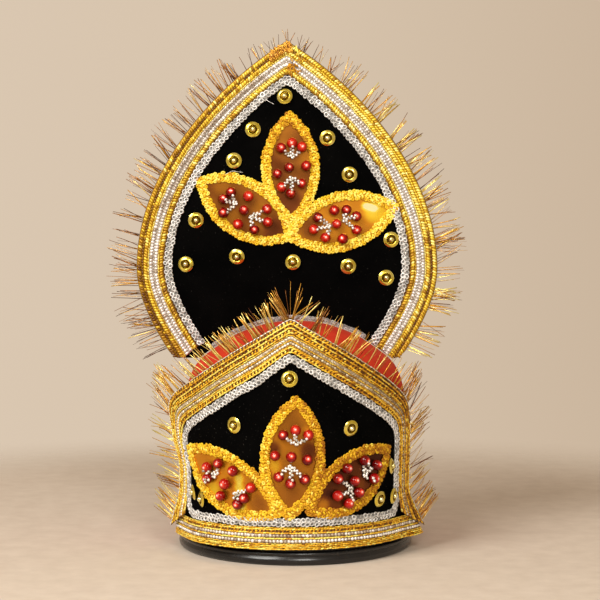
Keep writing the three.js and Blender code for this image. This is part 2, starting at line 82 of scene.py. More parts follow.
# Petals: face, centre across, centre up, length, half width, way the tip points in degrees, film tone, which
# is painted reflection and shade that makes each film lighter or darker.
PETALS = {
    "back_foil_left": ("plate", -29.7, 239.3, 82.3, 21.2, 147.9, 0.3),
    "back_foil_centre": ("plate", 2.6, 268.1, 82.3, 20.8, 91.5, 0.31),
    "back_foil_right": ("plate", 39.1, 230.4, 85.3, 21.0, 15.5, 0.5),
    "front_foil_left": ("panel", -46.4, 55.4, 92.5, 19.8, 152.5, 0.54),
    "front_foil_centre": ("panel", 1.3, 73.6, 85.1, 22.6, 86.4, 0.43),
    "front_foil_right": ("panel", 45.0, 56.4, 81.1, 19.4, 30.9, 0.1),
}
BACK_PETALS = ["back_foil_left", "back_foil_right", "back_foil_centre"]
FRONT_PETALS = ["front_foil_left", "front_foil_right", "front_foil_centre"]
# Patches of light and shade in the film: towards the tip, to the left, size, change of tone.
FILM_PATCHES = {
    "back_foil_left": [(22, -4, 6, 0.14), (4, 8, 5, 0.12), (-8, -6, 5, 0.1), (-24, 2, 7, -0.15)],
    "back_foil_centre": [(-24, 2, 10, -0.18), (8, -12, 6, 0.14), (-6, 13, 5, 0.1), (22, 2, 8, 0.02)],
    "back_foil_right": [
        (18.6, 6.6, 2.3, 0.36), (20.8, 5.3, 2.5, 0.42), (23, 4, 2.5, 0.42), (25.3, 2.6, 2.3, 0.36),
        (26, 0, 9, 0.24), (-22, 2, 9, -0.25), (4, -9, 6, 0.16)],
    "front_foil_left": [
        (-7, -7, 3.5, 0.3), (-10, -2, 3.5, 0.32), (-13, 3, 3.5, 0.3), (-17, 8, 3.5, 0.3),
        (-19, 13, 4, 0.24), (-28, 2, 7, -0.2), (24, 0, 8, -0.06), (8, 10, 5, 0.12)],
    "front_foil_centre": [
        (6, 14, 5, -0.34), (5, -11, 6, -0.3), (-25, 3, 9, -0.08), (-6, 13, 6, 0.26), (-14, 9, 5, 0.14),
        (18, -9, 4, 0.16)],
    "front_foil_right": [(26, 2, 9, -0.12), (-27, -1, 5, 0.34), (-19, 2, 3.5, -0.12), (3, -6, 5, 0.12)],
}
# Red beads on each petal: towards the tip, and to its left.
BEADS = {
    "back_foil_left": [
        (15.1, -4.9), (17.2, 2.2), (12, 10.6), (3.1, -9), (0.5, 1.1), (-1.2, 12), (-13.1, -8.5),
        (-18.5, -0.7), (-13.3, 9.1)],
    "back_foil_centre": [
        (15, 6.4), (18.3, -1.6), (15.3, -8.6), (-3.4, 9.8), (1, 1), (1.8, -11.3), (-13, 6.9),
        (-17.6, 0.3), (-10.7, -7.8)],
    "back_foil_right": [
        (5.6, 7.4), (11.3, 1), (8.7, -8.6), (-2.9, 9.3), (-3.9, -0.6), (-2.5, -12.1), (-15.7, 7.6),
        (-20.7, 0), (-14.2, -8)],
    "front_foil_left": [
        (10.7, -9), (17.7, -1.5), (13.8, 5.1), (-1.7, -10.7), (-0.2, 0.7), (-1.2, 9.7), (-18, -7.1),
        (-17.1, 1.8), (-14.9, 7.6)],
    "front_foil_centre": [
        (15.6, 7.3), (19.4, -0.8), (16.6, -9.7), (1.3, 11.9), (1.2, 0.9), (-0.2, -10), (-12.8, 8.5),
        (-16.9, 0.3), (-13.5, -9.1)],
    "front_foil_right": [
        (14, 7.7), (20.9, -1.2), (14, -7.6), (0, 10.9), (0.3, 0.4), (-1.1, -8.4), (-9.2, 8.7),
        (-15.4, -1), (-11.4, -10.1)],
}
# Sprays of seed beads: the place where three arms meet, then the ends of the arms.
SPRAYS = {
    "back_foil_left": [
        [(7.5, 0.7), (14, -3.9), (16.4, 2.6), (10.5, 9.2)],
        [(-5.6, 2), (-11.7, -4.7), (-15, 0.7), (-10.3, 7.4)]],
    "back_foil_centre": [
        [(7.7, -0.9), (13, 4.5), (16.3, -1.5), (12.2, -6.9)],
        [(-5.7, -0.8), (-12.3, 5.7), (-15.2, -0.2), (-10.3, -5.9)]],
    "back_foil_right": [
        [(1.2, 1.3), (4.3, 5.2), (11, 1), (7.2, -6.6)],
        [(-8.7, -1.4), (-14.4, 6.4), (-18.6, 0.1), (-12.6, -6.4)]],
    "front_foil_left": [
        [(8.8, -1), (10.6, -5.9), (16.6, 0.9), (12.4, 6.5)],
        [(-9.1, 1.8), (-16.1, -2.8), (-15.1, 3.2), (-11.1, 6.6)]],
    "front_foil_centre": [
        [(9.6, -1), (13.4, 5.2), (17.2, -1), (13.3, -8.4)],
        [(-4.8, 0.6), (-10.4, 7.1), (-15, -0.1), (-11.3, -6.6)]],
    "front_foil_right": [
        [(8.9, -0.7), (13.9, 5.7), (17.7, -0.8), (12.4, -7.5)],
        [(-3.7, -4.2), (-6.3, 3.8), (-12.3, -2.8), (-8, -9.4)]],
}
RED_RADIUS, RED_HEIGHT = 3.75, 3.3
SEED_RADIUS, SEED_PITCH, SEED_HEIGHT, SEED_ASIDE = 1.05, 1.35, 2.0, 0.6
# Cup sequins on each face: across, up, lift, and degrees turned towards the side.
SEQUINS = {
    "plate": [
        (-1.6, 319.6, 0, 0), (-24.3, 296, 0, 0), (28.9, 290, 0, 0), (-37.9, 273.9, 0, 0),
        (44.7, 264, 0, 0), (-65.2, 231.4, 0, 0), (74.5, 217.5, 0, 0), (-72.4, 199.9, 0, 0),
        (-35.9, 205.3, 0, 0), (4.3, 201.3, 0, 0), (43.8, 198.4, 0, 0), (71, 190.2, 0, 0)],
    "panel": [
        (-0.7, 127.1, 0, 0), (-40.5, 94.9, 0, 0), (43.3, 92.7, 0, 0), (-68.6, 42, 0.6, -24),
        (-78.3, 45.6, 0.6, -22), (68.6, 42, 0.4, 8), (81.4, 42.8, 1.6, 18), (79.8, 63.6, 1.0, 20)],
}
# Radius, height and tone of the rows of a cup sequin, from its hole to its rim, and of its bead; the low
# tones inside the cup are painted shade.
SEQUIN_ROWS = [(0.8, 0.3, 0.15), (2.0, 0.35, 0.1), (2.9, 0.8, 0.15), (3.4, 1.65, 0.4), (3.65, 1.8, 0.8),
               (4.6, 1.5, 0.7), (5.3, 1.0, 0.65), (5.5, 0.85, 0.85)]
SEQUIN_BEAD = (1.8, 1.7, 0.95)

ring_low, ring_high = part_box("stand_ring")
SHIFT_X = (ring_low[0] + ring_high[0]) / 2 / MM - CAP_SHIFT
SHIFT_Y = (ring_low[1] + ring_high[1]) / 2 / MM


# Faces that carry the trims
def smooth(value):
    t = np.clip(value, 0, 1)
    return t * t * (3 - 2 * t)


def rise(value, start, reach):
    """Goes smoothly from 0 at the start to 1 a reach further on."""
    return smooth((value - start) / reach)


def swell(value, middle, reach):
    return np.exp(-((value - middle) / reach) ** 2)


def on_plate(p, out):
    p = np.asarray(p, float)
    out = np.broadcast_to(np.asarray(out, float), p.shape[:-1])
    return np.stack([p[..., 0] + SHIFT_X, PLATE_FRONT - out + SHIFT_Y, p[..., 1]], -1) * MM


def on_panel(p, out):
    """The curved front panel, with the slack in its left side."""
    p = np.asarray(p, float)
    s, up = p[..., 0], p[..., 1]
    turn = s / PANEL_ARC
    nx = np.sin(turn) / PANEL_HALF_WIDTH
    ny = -np.cos(turn) / PANEL_HALF_DEPTH
    size = np.hypot(nx, ny)
    pull, pull_top, pull_reach = LEFT_PULL
    lean, lean_foot, lean_reach = LEFT_LEAN
    slack = pull * rise(-up, -pull_top, pull_reach) - lean * rise(up, lean_foot, lean_reach)
    slack = slack * rise(-s, *LEFT_SIDE)
    x = PANEL_SHIFT + PANEL_HALF_WIDTH * np.sin(turn) + nx / size * out + slack + SHIFT_X
    y = -PANEL_HALF_DEPTH * np.cos(turn) + ny / size * out + SHIFT_Y
    return np.stack([x, y, up], -1) * MM


def kicked(p, out, lift, kicks):
    """The panel's face, with the lower corners of the trims kicked out to the left and right."""
    p = np.asarray(p, float)
    s, up = p[..., 0], p[..., 1]
    low = np.clip((KICK_TOP - up) / (KICK_TOP - KICK_FOOT), 0, 1.2)
    raised = lift * smooth(low * 1.6) * rise(np.abs(s), *LIFT_FROM)
    low = low * rise(np.abs(s), *KICK_FROM)
    kick = np.where(s > 0, kicks[1], -kicks[0]) * low ** KICK_CURVE
    place = on_panel(p, out + raised)
    place[..., 0] += kick * MM
    return place


ON = {
    "plate": on_plate,
    "panel": on_panel,
    "side_trim": lambda p, out: kicked(p, out, KICK_LIFT, KICK_SIDES["side_trim"]),
    "base_trim": lambda p, out: kicked(p, out, 0.0, KICK_SIDES["base_trim"]),
}


# Lines on the faces
def curve_points(a, b, c, d, steps=40):
    t = np.linspace(0, 1, steps)[:, None]
    a, b, c, d = (np.array(v, float) for v in (a, b, c, d))
    return (1 - t) ** 3 * a + 3 * t * (1 - t) ** 2 * b + 3 * t * t * (1 - t) * c + t ** 3 * d


def both_sides(half):
    other = half[:-1][::-1].copy()
    other[:, 0] *= -1
    return np.vstack([half, other])


def plate_edge():
    widest = (PLATE_HALF_WIDTH, PLATE_WIDEST)
    low = curve_points(PLATE_FOOT, (98, 158), (PLATE_HALF_WIDTH, 178), widest)
    high = curve_points(widest, (108, 268), (48, 330), (0, PLATE_PEAK), 80)
    return both_sides(np.vstack([low, high[1:]]))


def panel_edge(bottom=PANEL_BOTTOM):
    shoulder = (PANEL_SHOULDER, PANEL_PEAK - PANEL_SLOPE * PANEL_SHOULDER)
    waist, top = (PANEL_PINCH, PANEL_WAIST), (PANEL_SIDE, PANEL_TOP)
    a = curve_points((PANEL_FOOT, bottom), (PANEL_FOOT - 3, bottom + 14), (PANEL_PINCH, 34), waist)
    b = curve_points(waist, (PANEL_PINCH, 62), (PANEL_SIDE, 70), top)
    c = curve_points(top, (PANEL_SIDE, 100), (107, 107), shoulder)
    return both_sides(np.vstack([a, b[1:], c[1:], [(0, PANEL_PEAK)]]))


def lengths(line):
    return np.concatenate([[0], np.cumsum(np.linalg.norm(np.diff(line, axis=0), axis=1))])


def at_lengths(line, at):
    length = lengths(line)
    return np.stack([np.interp(at, length, line[:, k]) for k in range(2)], 1)


def spaced(line, pitch, closed=False):
    if closed:
        line = np.vstack([line, line[:1]])
    total = lengths(line)[-1]
    count = max(2, int(round(total / pitch)))
    at = np.linspace(0, total, count + 1)
    return at_lengths(line, at[:-1] if closed else at)


def even_count(line, count):
    return at_lengths(line, np.linspace(0, lengths(line)[-1], count))


def unit(ways):
    return ways / np.linalg.norm(ways, axis=1, keepdims=True)


def along(line, closed=False):
    if closed:
        t = np.roll(line, -1, 0) - np.roll(line, 1, 0)
    else:
        t = np.gradient(line, axis=0)
    return t / np.maximum(np.linalg.norm(t, axis=1, keepdims=True), 1e-9)


def drawn_in(line, distance, closed=False):
    """The line moved to its left by a distance, with the folds in tight corners taken out."""
    base = spaced(line, 1.0, closed)
    t = along(base, closed)
    moved = base + np.stack([-t[:, 1], t[:, 0]], 1) * distance
    gap = np.linalg.norm(moved[:, None, :] - base[None, :, :], axis=2).min(1)
    return moved[gap > abs(distance) - 0.12 - 0.01 * abs(distance)]


def above(line, height):
    return line[line[:, 1] > height]


def eased(line, rounds, closed=False):
    """Rounds the shoulders and feet of a line on the panel, and leaves its peak alone."""
    line = spaced(line, 1.5, closed)
    for _ in range(rounds):
        ahead, behind = np.roll(line, -1, 0), np.roll(line, 1, 0)
        if not closed:
            ahead[-1], behind[0] = line[-1], line[0]
        share = rise(np.abs(line[:, 0]), *EASE_FROM)[:, None] * 0.5
        line = line + ((ahead + behind) / 2 - line) * share
    return line


def cap_top(x):
    reach = math.hypot(x - CAP_SHIFT, PLATE_FRONT / CAP_RATIO)
    profile = np.array(CAP_PROFILE, float)[::-1]
    return float(np.interp(reach, profile[:, 0], profile[:, 1])) if reach < CAP_RADIUS else 0.0


def plate_sole(x):
    return max(cap_top(x) + SOLE_GAP, PLATE_HEEL[1])


def plate_floor(x):
    """Height of the plate's lower edge, from its heels to the middle of the cap."""
    x = abs(x)
    if x > PLATE_HEEL[0]:
        slope = (PLATE_FOOT[1] - PLATE_HEEL[1]) / (PLATE_FOOT[0] - PLATE_HEEL[0])
        return PLATE_HEEL[1] + (x - PLATE_HEEL[0]) * slope
    return plate_sole(x)


def to_the_sole(line, spare):
    """Carries both ends of a line on the plate straight on to the plate's lower edge."""
    for _ in range(2):
        step = line[0] - line[3]
        step = step / np.linalg.norm(step)
        tail = []
        spot = line[0] + step
        while spot[1] > plate_floor(spot[0]) + spare:
            tail.append(spot)
            spot = spot + step
        line = np.vstack(tail[::-1] + [line])[::-1]
    return line


def petal_point(petal, u, v):
    _, across, up, _, _, tip, _ = PETALS[petal]
    c, s = math.cos(math.radians(tip)), math.sin(math.radians(tip))
    return np.stack([across + u * c - v * s, up + u * s + v * c], -1)


def petal_line(petal, drawn, steps=60):
    """The petal's outline, two bows that meet at its tips, drawn in by a distance."""
    length, half = PETALS[petal][3:5]
    reach = length / 2
    bow = (reach * reach + half * half) / (2 * half) - drawn
    offset = bow + drawn - half
    sweep = math.acos(offset / bow)
    a = sweep * (1 - 2 * np.arange(steps) / steps)
    u = np.concatenate([side * bow * np.sin(a) for side in (1, -1)])
    v = np.concatenate([side * (bow * np.cos(a) - offset) for side in (1, -1)])
    return petal_point(petal, u, v)


# Finishes
def new_finish(name):
    finish = bpy.data.materials.new(name)
    finish.use_nodes = True
    return finish, finish.node_tree, finish.node_tree.nodes["Principled BSDF"]


def feed(tree, node, inputs):
    """Sets the inputs of a node: a socket is linked, and anything else is a constant."""
    for key, value in inputs.items():
        if isinstance(value, bpy.types.NodeSocket):
            tree.links.new(value, node.inputs[key])
        else:
            node.inputs[key].default_value = value


def add_node(tree, kind, inputs, **settings):
    node = tree.nodes.new("ShaderNode" + kind)
    for key, value in settings.items():
        setattr(node, key, value)
    feed(tree, node, inputs)
    return node


def place_on(tree, kind="Object"):
    return add_node(tree, "TexCoord", {}).outputs[kind]


def grain(tree, scale, detail=3.0, rough=0.6):
    inputs = {"Scale": scale, "Detail": detail, "Roughness": rough, "Vector": place_on(tree)}
    return add_node(tree, "TexNoise", inputs).outputs["Fac"]


def shades(tree, source, stops):
    ramp = add_node(tree, "ValToRGB", {"Fac": source})
    first, last = ramp.color_ramp.elements
    first.position, first.color = stops[0][0], (*stops[0][1], 1)
    last.position, last.color = stops[-1][0], (*stops[-1][1], 1)
    for position, colour in stops[1:-1]:
        ramp.color_ramp.elements.new(position).color = (*colour, 1)
    return ramp.outputs["Color"]


def relief(tree, source, strength, distance):
    inputs = {"Strength": strength, "Distance": distance, "Height": source}
    return add_node(tree, "Bump", inputs).outputs["Normal"]


def spread(tree, source, low, high):
    return add_node(tree, "MapRange", {"To Min": low, "To Max": high, "Value": source}).outputs["Result"]


def varied_tone(tree, pattern, share):
    """The tone that each point of a piece carries, varied by a share of a pattern."""
    tone = add_node(tree, "Attribute", {}, attribute_name="tone").outputs["Fac"]
    inputs = {0: spread(tree, pattern, -0.5, 0.5), 1: share, 2: tone}
    return add_node(tree, "Math", inputs, operation="MULTIPLY_ADD").outputs["Value"]


def toned_finish(name, pattern, share, rough, constants, stops, bump=None):
    """A finish that follows the tone of each stitch, bead or patch, with a fine pattern in its shine."""
    finish, tree, shader = new_finish(name)
    fine = grain(tree, *pattern)
    feed(tree, shader, {"Base Color": shades(tree, varied_tone(tree, fine, share), stops),
                        "Roughness": spread(tree, fine, *rough), **constants})
    if bump:
        feed(tree, shader, {"Normal": relief(tree, fine, *bump)})
    return finish


def thread_finish(name, metallic, rough, gloss, stops):
    constants = {"Metallic": metallic, "Specular IOR Level": gloss}
    return toned_finish(name, (700, 2), 0.25, (rough - 0.1, rough + 0.14), constants, stops)


def velvet_finish(name):
    finish, tree, shader = new_finish(name)
    pile = grain(tree, 2200)
    lint = shades(tree, grain(tree, 1100, 1), [(0.0, (0, 0, 0)), (0.72, (0, 0, 0)), (0.8, (1, 1, 1))])
    nap = [(0.3, (0.0006, 0.0006, 0.0006)), (0.75, (0.0022, 0.002, 0.0019))]
    mixed = {"Factor": lint, "A": shades(tree, grain(tree, 38), nap), "B": (0.06, 0.056, 0.05, 1)}
    mix = add_node(tree, "Mix", mixed, data_type="RGBA")
    feed(tree, shader, {"Base Color": mix.outputs["Result"], "Roughness": spread(tree, pile, 0.8, 1.0),
                        "Specular IOR Level": 0.02, "Sheen Weight": 0.006, "Sheen Roughness": 0.35,
                        "Sheen Tint": (0.5, 0.48, 0.46, 1), "Normal": relief(tree, pile, 0.6, 0.0004)})
    return finish


def red_cloth_finish(name):
    finish, tree, shader = new_finish(name)
    weave = grain(tree, 1500, 2)
    stops = [(0.28, (0.44, 0.022, 0.008)), (0.5, (0.54, 0.034, 0.013)), (0.74, (0.62, 0.05, 0.02))]
    feed(tree, shader, {"Base Color": shades(tree, grain(tree, 26, 4), stops),
                        "Roughness": spread(tree, weave, 0.72, 0.95), "Specular IOR Level": 0.1,
                        "Sheen Weight": 0.06, "Sheen Roughness": 0.5, "Sheen Tint": (1.0, 0.35, 0.22, 1),
                        "Normal": relief(tree, weave, 0.4, 0.0004)})
    return finish


def ring_plastic_finish(name):
    finish, tree, shader = new_finish(name)
    scuff = grain(tree, 90, 6, 0.7)
    stops = [(0.35, (0.005, 0.005, 0.006)), (0.7, (0.013, 0.0125, 0.0125))]
    feed(tree, shader, {"Base Color": shades(tree, scuff, stops),
                        "Roughness": spread(tree, scuff, 0.13, 0.38), "Specular IOR Level": 0.5,
                        "Normal": relief(tree, grain(tree, 1400, 2), 0.08, 0.0002)})
    return finish


# Toned finishes: pattern, share of it in the tone, roughness, constants, then colours from the darkest tone
# to the lightest.
TONED = {
    "gold_film": ((45, 1, 0.4), 0.4, (0.2, 0.34), {"Metallic": 0.75}, [
        (0.0, (0.07, 0.016, 0.006)), (0.22, (0.22, 0.056, 0.009)), (0.42, (0.46, 0.17, 0.014)),
        (0.58, (0.78, 0.3, 0.016)), (0.74, (0.96, 0.62, 0.03)), (0.9, (1.0, 0.87, 0.15)),
        (1.0, (1.0, 0.96, 0.5))]),
    "gold_sequin": ((240,), 0.5, (0.14, 0.3), {"Metallic": 0.9}, [
        (0.0, (0.1, 0.055, 0.004)), (0.35, (0.4, 0.26, 0.02)), (0.7, (0.86, 0.68, 0.08)),
        (1.0, (1.0, 0.95, 0.5))], (0.15, 0.0006)),
    # The red bead's two lightest colours are its painted highlight.
    "red_glass_bead": ((420, 2), 0.22, (0.02, 0.05), {
        "Transmission Weight": 0.1, "IOR": 1.55, "Specular IOR Level": 0.25, "Coat Weight": 0.1,
        "Coat Roughness": 0.02}, [
        (0.0, (0.13, 0.0005, 0.001)), (0.3, (0.36, 0.004, 0.003)), (0.55, (0.68, 0.025, 0.008)),
        (0.75, (0.92, 0.24, 0.15)), (0.95, (1.0, 0.97, 0.94))]),
}
# Thread finishes: metal, roughness, gloss, and the colours from the darkest tone to the lightest.
THREADS = {
    "gold_thread": (0.35, 0.32, 0.5, [
        (0.0, (0.13, 0.045, 0.005)), (0.3, (0.52, 0.27, 0.012)), (0.65, (0.84, 0.6, 0.04)),
        (1.0, (1.0, 0.92, 0.28))]),
    "panel_gold_thread": (0.35, 0.32, 0.5, [
        (0.0, (0.1, 0.03, 0.003)), (0.3, (0.5, 0.21, 0.008)), (0.65, (0.95, 0.55, 0.02)),
        (1.0, (1.0, 0.87, 0.18))]),
    "petal_gold_thread": (0.15, 0.52, 0.3, [
        (0.0, (0.37, 0.13, 0.004)), (0.35, (0.68, 0.35, 0.01)), (0.75, (0.9, 0.61, 0.022)),
        (1.0, (1.0, 0.84, 0.15))]),
    "silver_thread": (0.4, 0.26, 0.5, [
        (0.0, (0.2, 0.12, 0.07)), (0.3, (0.46, 0.37, 0.28)), (0.65, (0.75, 0.71, 0.66)),
        (1.0, (0.97, 0.96, 0.94))]),
    "panel_silver_thread": (0.4, 0.26, 0.5, [
        (0.0, (0.2, 0.12, 0.05)), (0.3, (0.46, 0.35, 0.2)), (0.65, (0.78, 0.69, 0.5)),
        (1.0, (0.98, 0.96, 0.88))]),
    "silver_braid_thread": (0.4, 0.36, 0.5, [
        (0.0, (0.24, 0.23, 0.21)), (0.5, (0.62, 0.6, 0.57)), (1.0, (0.94, 0.93, 0.91))]),
    "seam_braid_thread": (0.4, 0.4, 0.5, [
        (0.0, (0.16, 0.14, 0.13)), (0.5, (0.4, 0.37, 0.35)), (1.0, (0.7, 0.66, 0.63))]),
    "gold_tinsel": (0.6, 0.28, 0.5, [
        (0.0, (0.09, 0.028, 0.01)), (0.3, (0.36, 0.13, 0.022)), (0.65, (0.84, 0.44, 0.045)),
        (1.0, (1.0, 0.86, 0.3))]),
    "silver_seed_bead": (0.45, 0.2, 0.5, [
        (0.0, (0.36, 0.33, 0.26)), (0.3, (0.84, 0.82, 0.75)), (1.0, (1.0, 0.99, 0.96))]),
    "trim_backing": (0.1, 0.7, 0.5, [(0.0, (0.085, 0.028, 0.005)), (1.0, (0.2, 0.078, 0.011))]),
    "petal_braid_core": (0.1, 0.7, 0.2, [(0.0, (0.5, 0.25, 0.006)), (1.0, (0.66, 0.37, 0.012))]),
    "silver_braid_core": (0.1, 0.7, 0.5, [(0.0, (0.2, 0.195, 0.185)), (1.0, (0.34, 0.33, 0.31))]),
}
FINISH = {
    "black_velvet": velvet_finish("black_velvet"),
    "red_cap_cloth": red_cloth_finish("red_cap_cloth"),
    "black_ring_plastic": ring_plastic_finish("black_ring_plastic"),
}
for title, values in TONED.items():
    FINISH[title] = toned_finish(title, *values)
for title, values in THREADS.items():
    FINISH[title] = thread_finish(title, *values)


# Making pieces
def keep(piece, finish, replaced=()):
    piece.data.materials.clear()
    piece.data.materials.append(FINISH[finish])
    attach(piece, "root")
    if replaced:
        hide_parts(*replaced)


def joined_piece(name, parts, finish, replaced=()):
    """One mesh from many small shapes, each with its points, faces and tone."""
    points, faces, tones, base = [], [], [], 0
    for part_points, part_faces, part_tones in parts:
        points.append(part_points)
        faces += [[i + base for i in face] for face in part_faces]
        tones.append(part_tones)
        base += len(part_points)
    mesh = bpy.data.meshes.new(name)
    mesh.from_pydata(np.vstack(points).tolist(), [], faces)
    mesh.polygons.foreach_set("use_smooth", [True] * len(mesh.polygons))
    layer = mesh.attributes.new("tone", "FLOAT", "POINT")
    layer.data.foreach_set("value", np.concatenate(tones).astype(np.float32))
    mesh.update()
    piece = bpy.data.objects.new(name, mesh)
    bpy.context.collection.objects.link(piece)
    keep(piece, finish, replaced)


def new_shape(name, add, **values):
    """Adds one of Blender's shapes on its own, and names it."""
    bpy.ops.object.select_all(action="DESELECT")
    add(**values)
    piece = bpy.context.active_object
    piece.name = name
    piece.data.name = name
    return piece


def add_modifier(piece, kind, **values):
    bpy.ops.object.select_all(action="DESELECT")
    piece.select_set(True)
    bpy.context.view_layer.objects.active = piece
    modifier = piece.modifiers.new(kind.lower(), kind)
    for key, value in values.items():
        setattr(modifier, key, value)
    bpy.ops.object.modifier_apply(modifier=modifier.name)


def shade_by_angle(degrees):
    bpy.ops.object.shade_smooth_by_angle(angle=math.radians(degrees))


def open_for_edits():
    bpy.ops.object.mode_set(mode="EDIT")
    bpy.ops.mesh.select_all(action="SELECT")


def face_outward():
    """Turns all faces outward and ends the edits."""
    bpy.ops.mesh.select_all(action="SELECT")
    bpy.ops.mesh.normals_make_consistent(inside=False)
    bpy.ops.object.mode_set(mode="OBJECT")


def raise_rows(rows):
    """Draws a ring of points out into a wall through rows of radius and height."""
    open_for_edits()
    for (r0, z0), (r1, z1) in zip(rows[:-1], rows[1:]):
        bpy.ops.mesh.extrude_edges_move(TRANSFORM_OT_translate={"value": (0, 0, (z1 - z0) * MM)})
        grow = max(r1, 0.02) / r0
        bpy.ops.transform.resize(value=(grow, grow, 1), center_override=(0, 0, z1 * MM))


def move_points(piece, spots):
    for vertex, spot in zip(piece.data.vertices, spots):
        vertex.co = spot


def turned_piece(name, profile, sides, ratio, shut):
    """Raises an oval wall row by row from the first row of the profile."""
    radius, height = profile[0]
    piece = new_shape(name, bpy.ops.mesh.primitive_circle_add, vertices=sides, radius=radius * MM,
                      location=(0, 0, height * MM))
    bpy.ops.object.transform_apply(location=True, rotation=False, scale=False)
    raise_rows(profile)
    if shut:
        bpy.ops.mesh.edge_face_add()
    bpy.ops.mesh.select_all(action="SELECT")
    bpy.ops.mesh.remove_doubles(threshold=0.00001)
    bpy.ops.mesh.normals_make_consistent(inside=False)
    bpy.ops.transform.resize(value=(1, ratio, 1), center_override=(0, 0, 0))
    bpy.ops.transform.translate(value=((CAP_SHIFT + SHIFT_X) * MM, SHIFT_Y * MM, 0))
    bpy.ops.object.mode_set(mode="OBJECT")
    return piece


def make_stand_ring():
    piece = turned_piece("stand_ring_plastic", RING_PROFILE, 160, RING_RATIO, False)
    shade_by_angle(40)
    keep(piece, "black_ring_plastic", ("stand_ring",))


def make_cap():
    rows = spaced(np.array(CAP_PROFILE, float), 5.0)
    for _ in range(2):
        rows[1:-1] = (rows[:-2] + 2 * rows[1:-1] + rows[2:]) / 4
    piece = turned_piece("cap_cloth", [tuple(row) for row in rows], 120, CAP_RATIO, True)
    for v in piece.data.vertices:
        x = v.co.x / MM - CAP_SHIFT - SHIFT_X
        y = (v.co.y / MM - SHIFT_Y) / CAP_RATIO
        z = v.co.z / MM
        turn = math.atan2(y, x)
        loose = min(1, max(0, (z - LOOSE_FROM) / LOOSE_REACH)) * min(1, math.hypot(x, y) / LOOSE_REACH)
        pucker = sum(depth * math.sin(number * turn + z / twist) for depth, number, twist in PUCKERS)
        share = 1 + (pucker * PUCKER_STRENGTH - CLOTH_GIVE) * loose / CLOTH_RADIUS
        v.co.x = (x * share + CAP_SHIFT + SHIFT_X) * MM
        v.co.y = (y * share * CAP_RATIO + SHIFT_Y) * MM
    add_modifier(piece, "SOLIDIFY", thickness=1.6 * MM, offset=-1)
    bpy.ops.object.shade_smooth()
    keep(piece, "red_cap_cloth", ("cap",))


def sole_line(half_width, count, lift):
    xs = np.linspace(-half_width, half_width, count)
    return np.stack([xs, [plate_sole(x) + lift for x in xs]], 1)


def make_back_plate():
    heels = np.array([(-PLATE_HEEL[0], PLATE_HEEL[1]), PLATE_HEEL])
    outline = np.vstack([spaced(plate_edge(), 2.5), heels[:1], sole_line(72, 60, 0), heels[1:]])
    piece = new_shape("back_plate_velvet", bpy.ops.mesh.primitive_circle_add, vertices=len(outline),
                      radius=0.1, fill_type="NGON")
    move_points(piece, on_plate(outline, 0))
    open_for_edits()
    bpy.ops.mesh.extrude_region_move(TRANSFORM_OT_translate={"value": (0, PLATE_THICK * MM, 0)})
    face_outward()
    rim = {"limit_method": "ANGLE", "angle_limit": math.radians(50)}
    add_modifier(piece, "BEVEL", width=0.7 * MM, segments=2, **rim)
    shade_by_angle(35)
    keep(piece, "black_velvet", ("back_plate",))


def make_front_panel():
    edge = panel_edge()
    side = edge[:len(edge) // 2]
    side = side[side[:, 1] <= PANEL_TOP + 0.01]
    top = edge[edge[:, 1] > PANEL_TOP - 0.1]
    top = top[np.argsort(top[:, 0])]
    piece = new_shape("front_panel_velvet", bpy.ops.mesh.primitive_grid_add, x_subdivisions=100,
                      y_subdivisions=24, size=2)
    grid = np.array([v.co[:] for v in piece.data.vertices])
    u = np.sign(grid[:, 0]) * np.abs(grid[:, 0]) ** 0.9
    v = (grid[:, 1] + 1) / 2
    half = np.interp(PANEL_BOTTOM + v * (PANEL_TOP - PANEL_BOTTOM), side[:, 1], side[:, 0])
    high = np.interp(u * PANEL_SIDE, top[:, 0], top[:, 1])
    flat = np.stack([u * half, PANEL_BOTTOM + v * (high - PANEL_BOTTOM)], 1)
    move_points(piece, on_panel(flat, 0.0))
    open_for_edits()
    face_outward()
    facing = sum(face.normal.y * face.area for face in piece.data.polygons)
    add_modifier(piece, "SOLIDIFY", thickness=PANEL_THICK * MM, offset=-1 if facing < 0 else 1)
    shade_by_angle(35)
    keep(piece, "black_velvet", ("front_panel",))


# Stitches, strands and beads laid in numbers
def round_faces(around, rows):
    """Faces of a round shape: rows of points between two end points."""
    faces = []
    last = 1 + (rows - 1) * around
    for i in range(around):
        j = (i + 1) % around
        faces.append((0, 1 + j, 1 + i))
        for a in range(1, last, around):
            faces.append((a + i, a + j, a + around + j, a + around + i))
        faces.append((last + i, last + j, last + around))
    return faces


def ball_shape(around, rings):
    rows = [(0.0, 0.0, -1.0)]
    for r in range(1, rings):
        a = math.pi * r / rings
        for i in range(around):
            b = 2 * math.pi * i / around
            rows.append((math.sin(a) * math.cos(b), math.sin(a) * math.sin(b), -math.cos(a)))
    rows.append((0.0, 0.0, 1.0))
    return np.array(rows), round_faces(around, rings - 1)


def loop_shape(around, wire_sides, wire):
    points, faces = [], []
    for i in range(around):
        a = 2 * math.pi * i / around
        for j in range(wire_sides):
            b = 2 * math.pi * j / wire_sides
            r = 1 - wire + wire * math.cos(b)
            points.append((r * math.cos(a), r * math.sin(a), math.sin(b)))
            p, q = i * wire_sides, (i + 1) % around * wire_sides
            k = (j + 1) % wire_sides
            faces.append((p + j, q + j, q + k, p + k))
    return np.array(points), faces


STITCH = ball_shape(7, 4)
RING_LOOP = loop_shape(9, 4, 0.27)
TIGHT_LOOP = loop_shape(9, 4, 0.42)
BEAD = ball_shape(18, 10)
SEED_BEAD = ball_shape(10, 6)


def tube_faces(rows):
    """Faces of a shut tube with four points to a row."""
    faces = [(3, 2, 1, 0)]
    last = (rows - 1) * 4
    for p in range(0, last, 4):
        for j in range(4):
            k = (j + 1) % 4
            faces.append((p + j, p + k, p + 4 + k, p + 4 + j))
    faces.append((last, last + 1, last + 2, last + 3))
    return faces


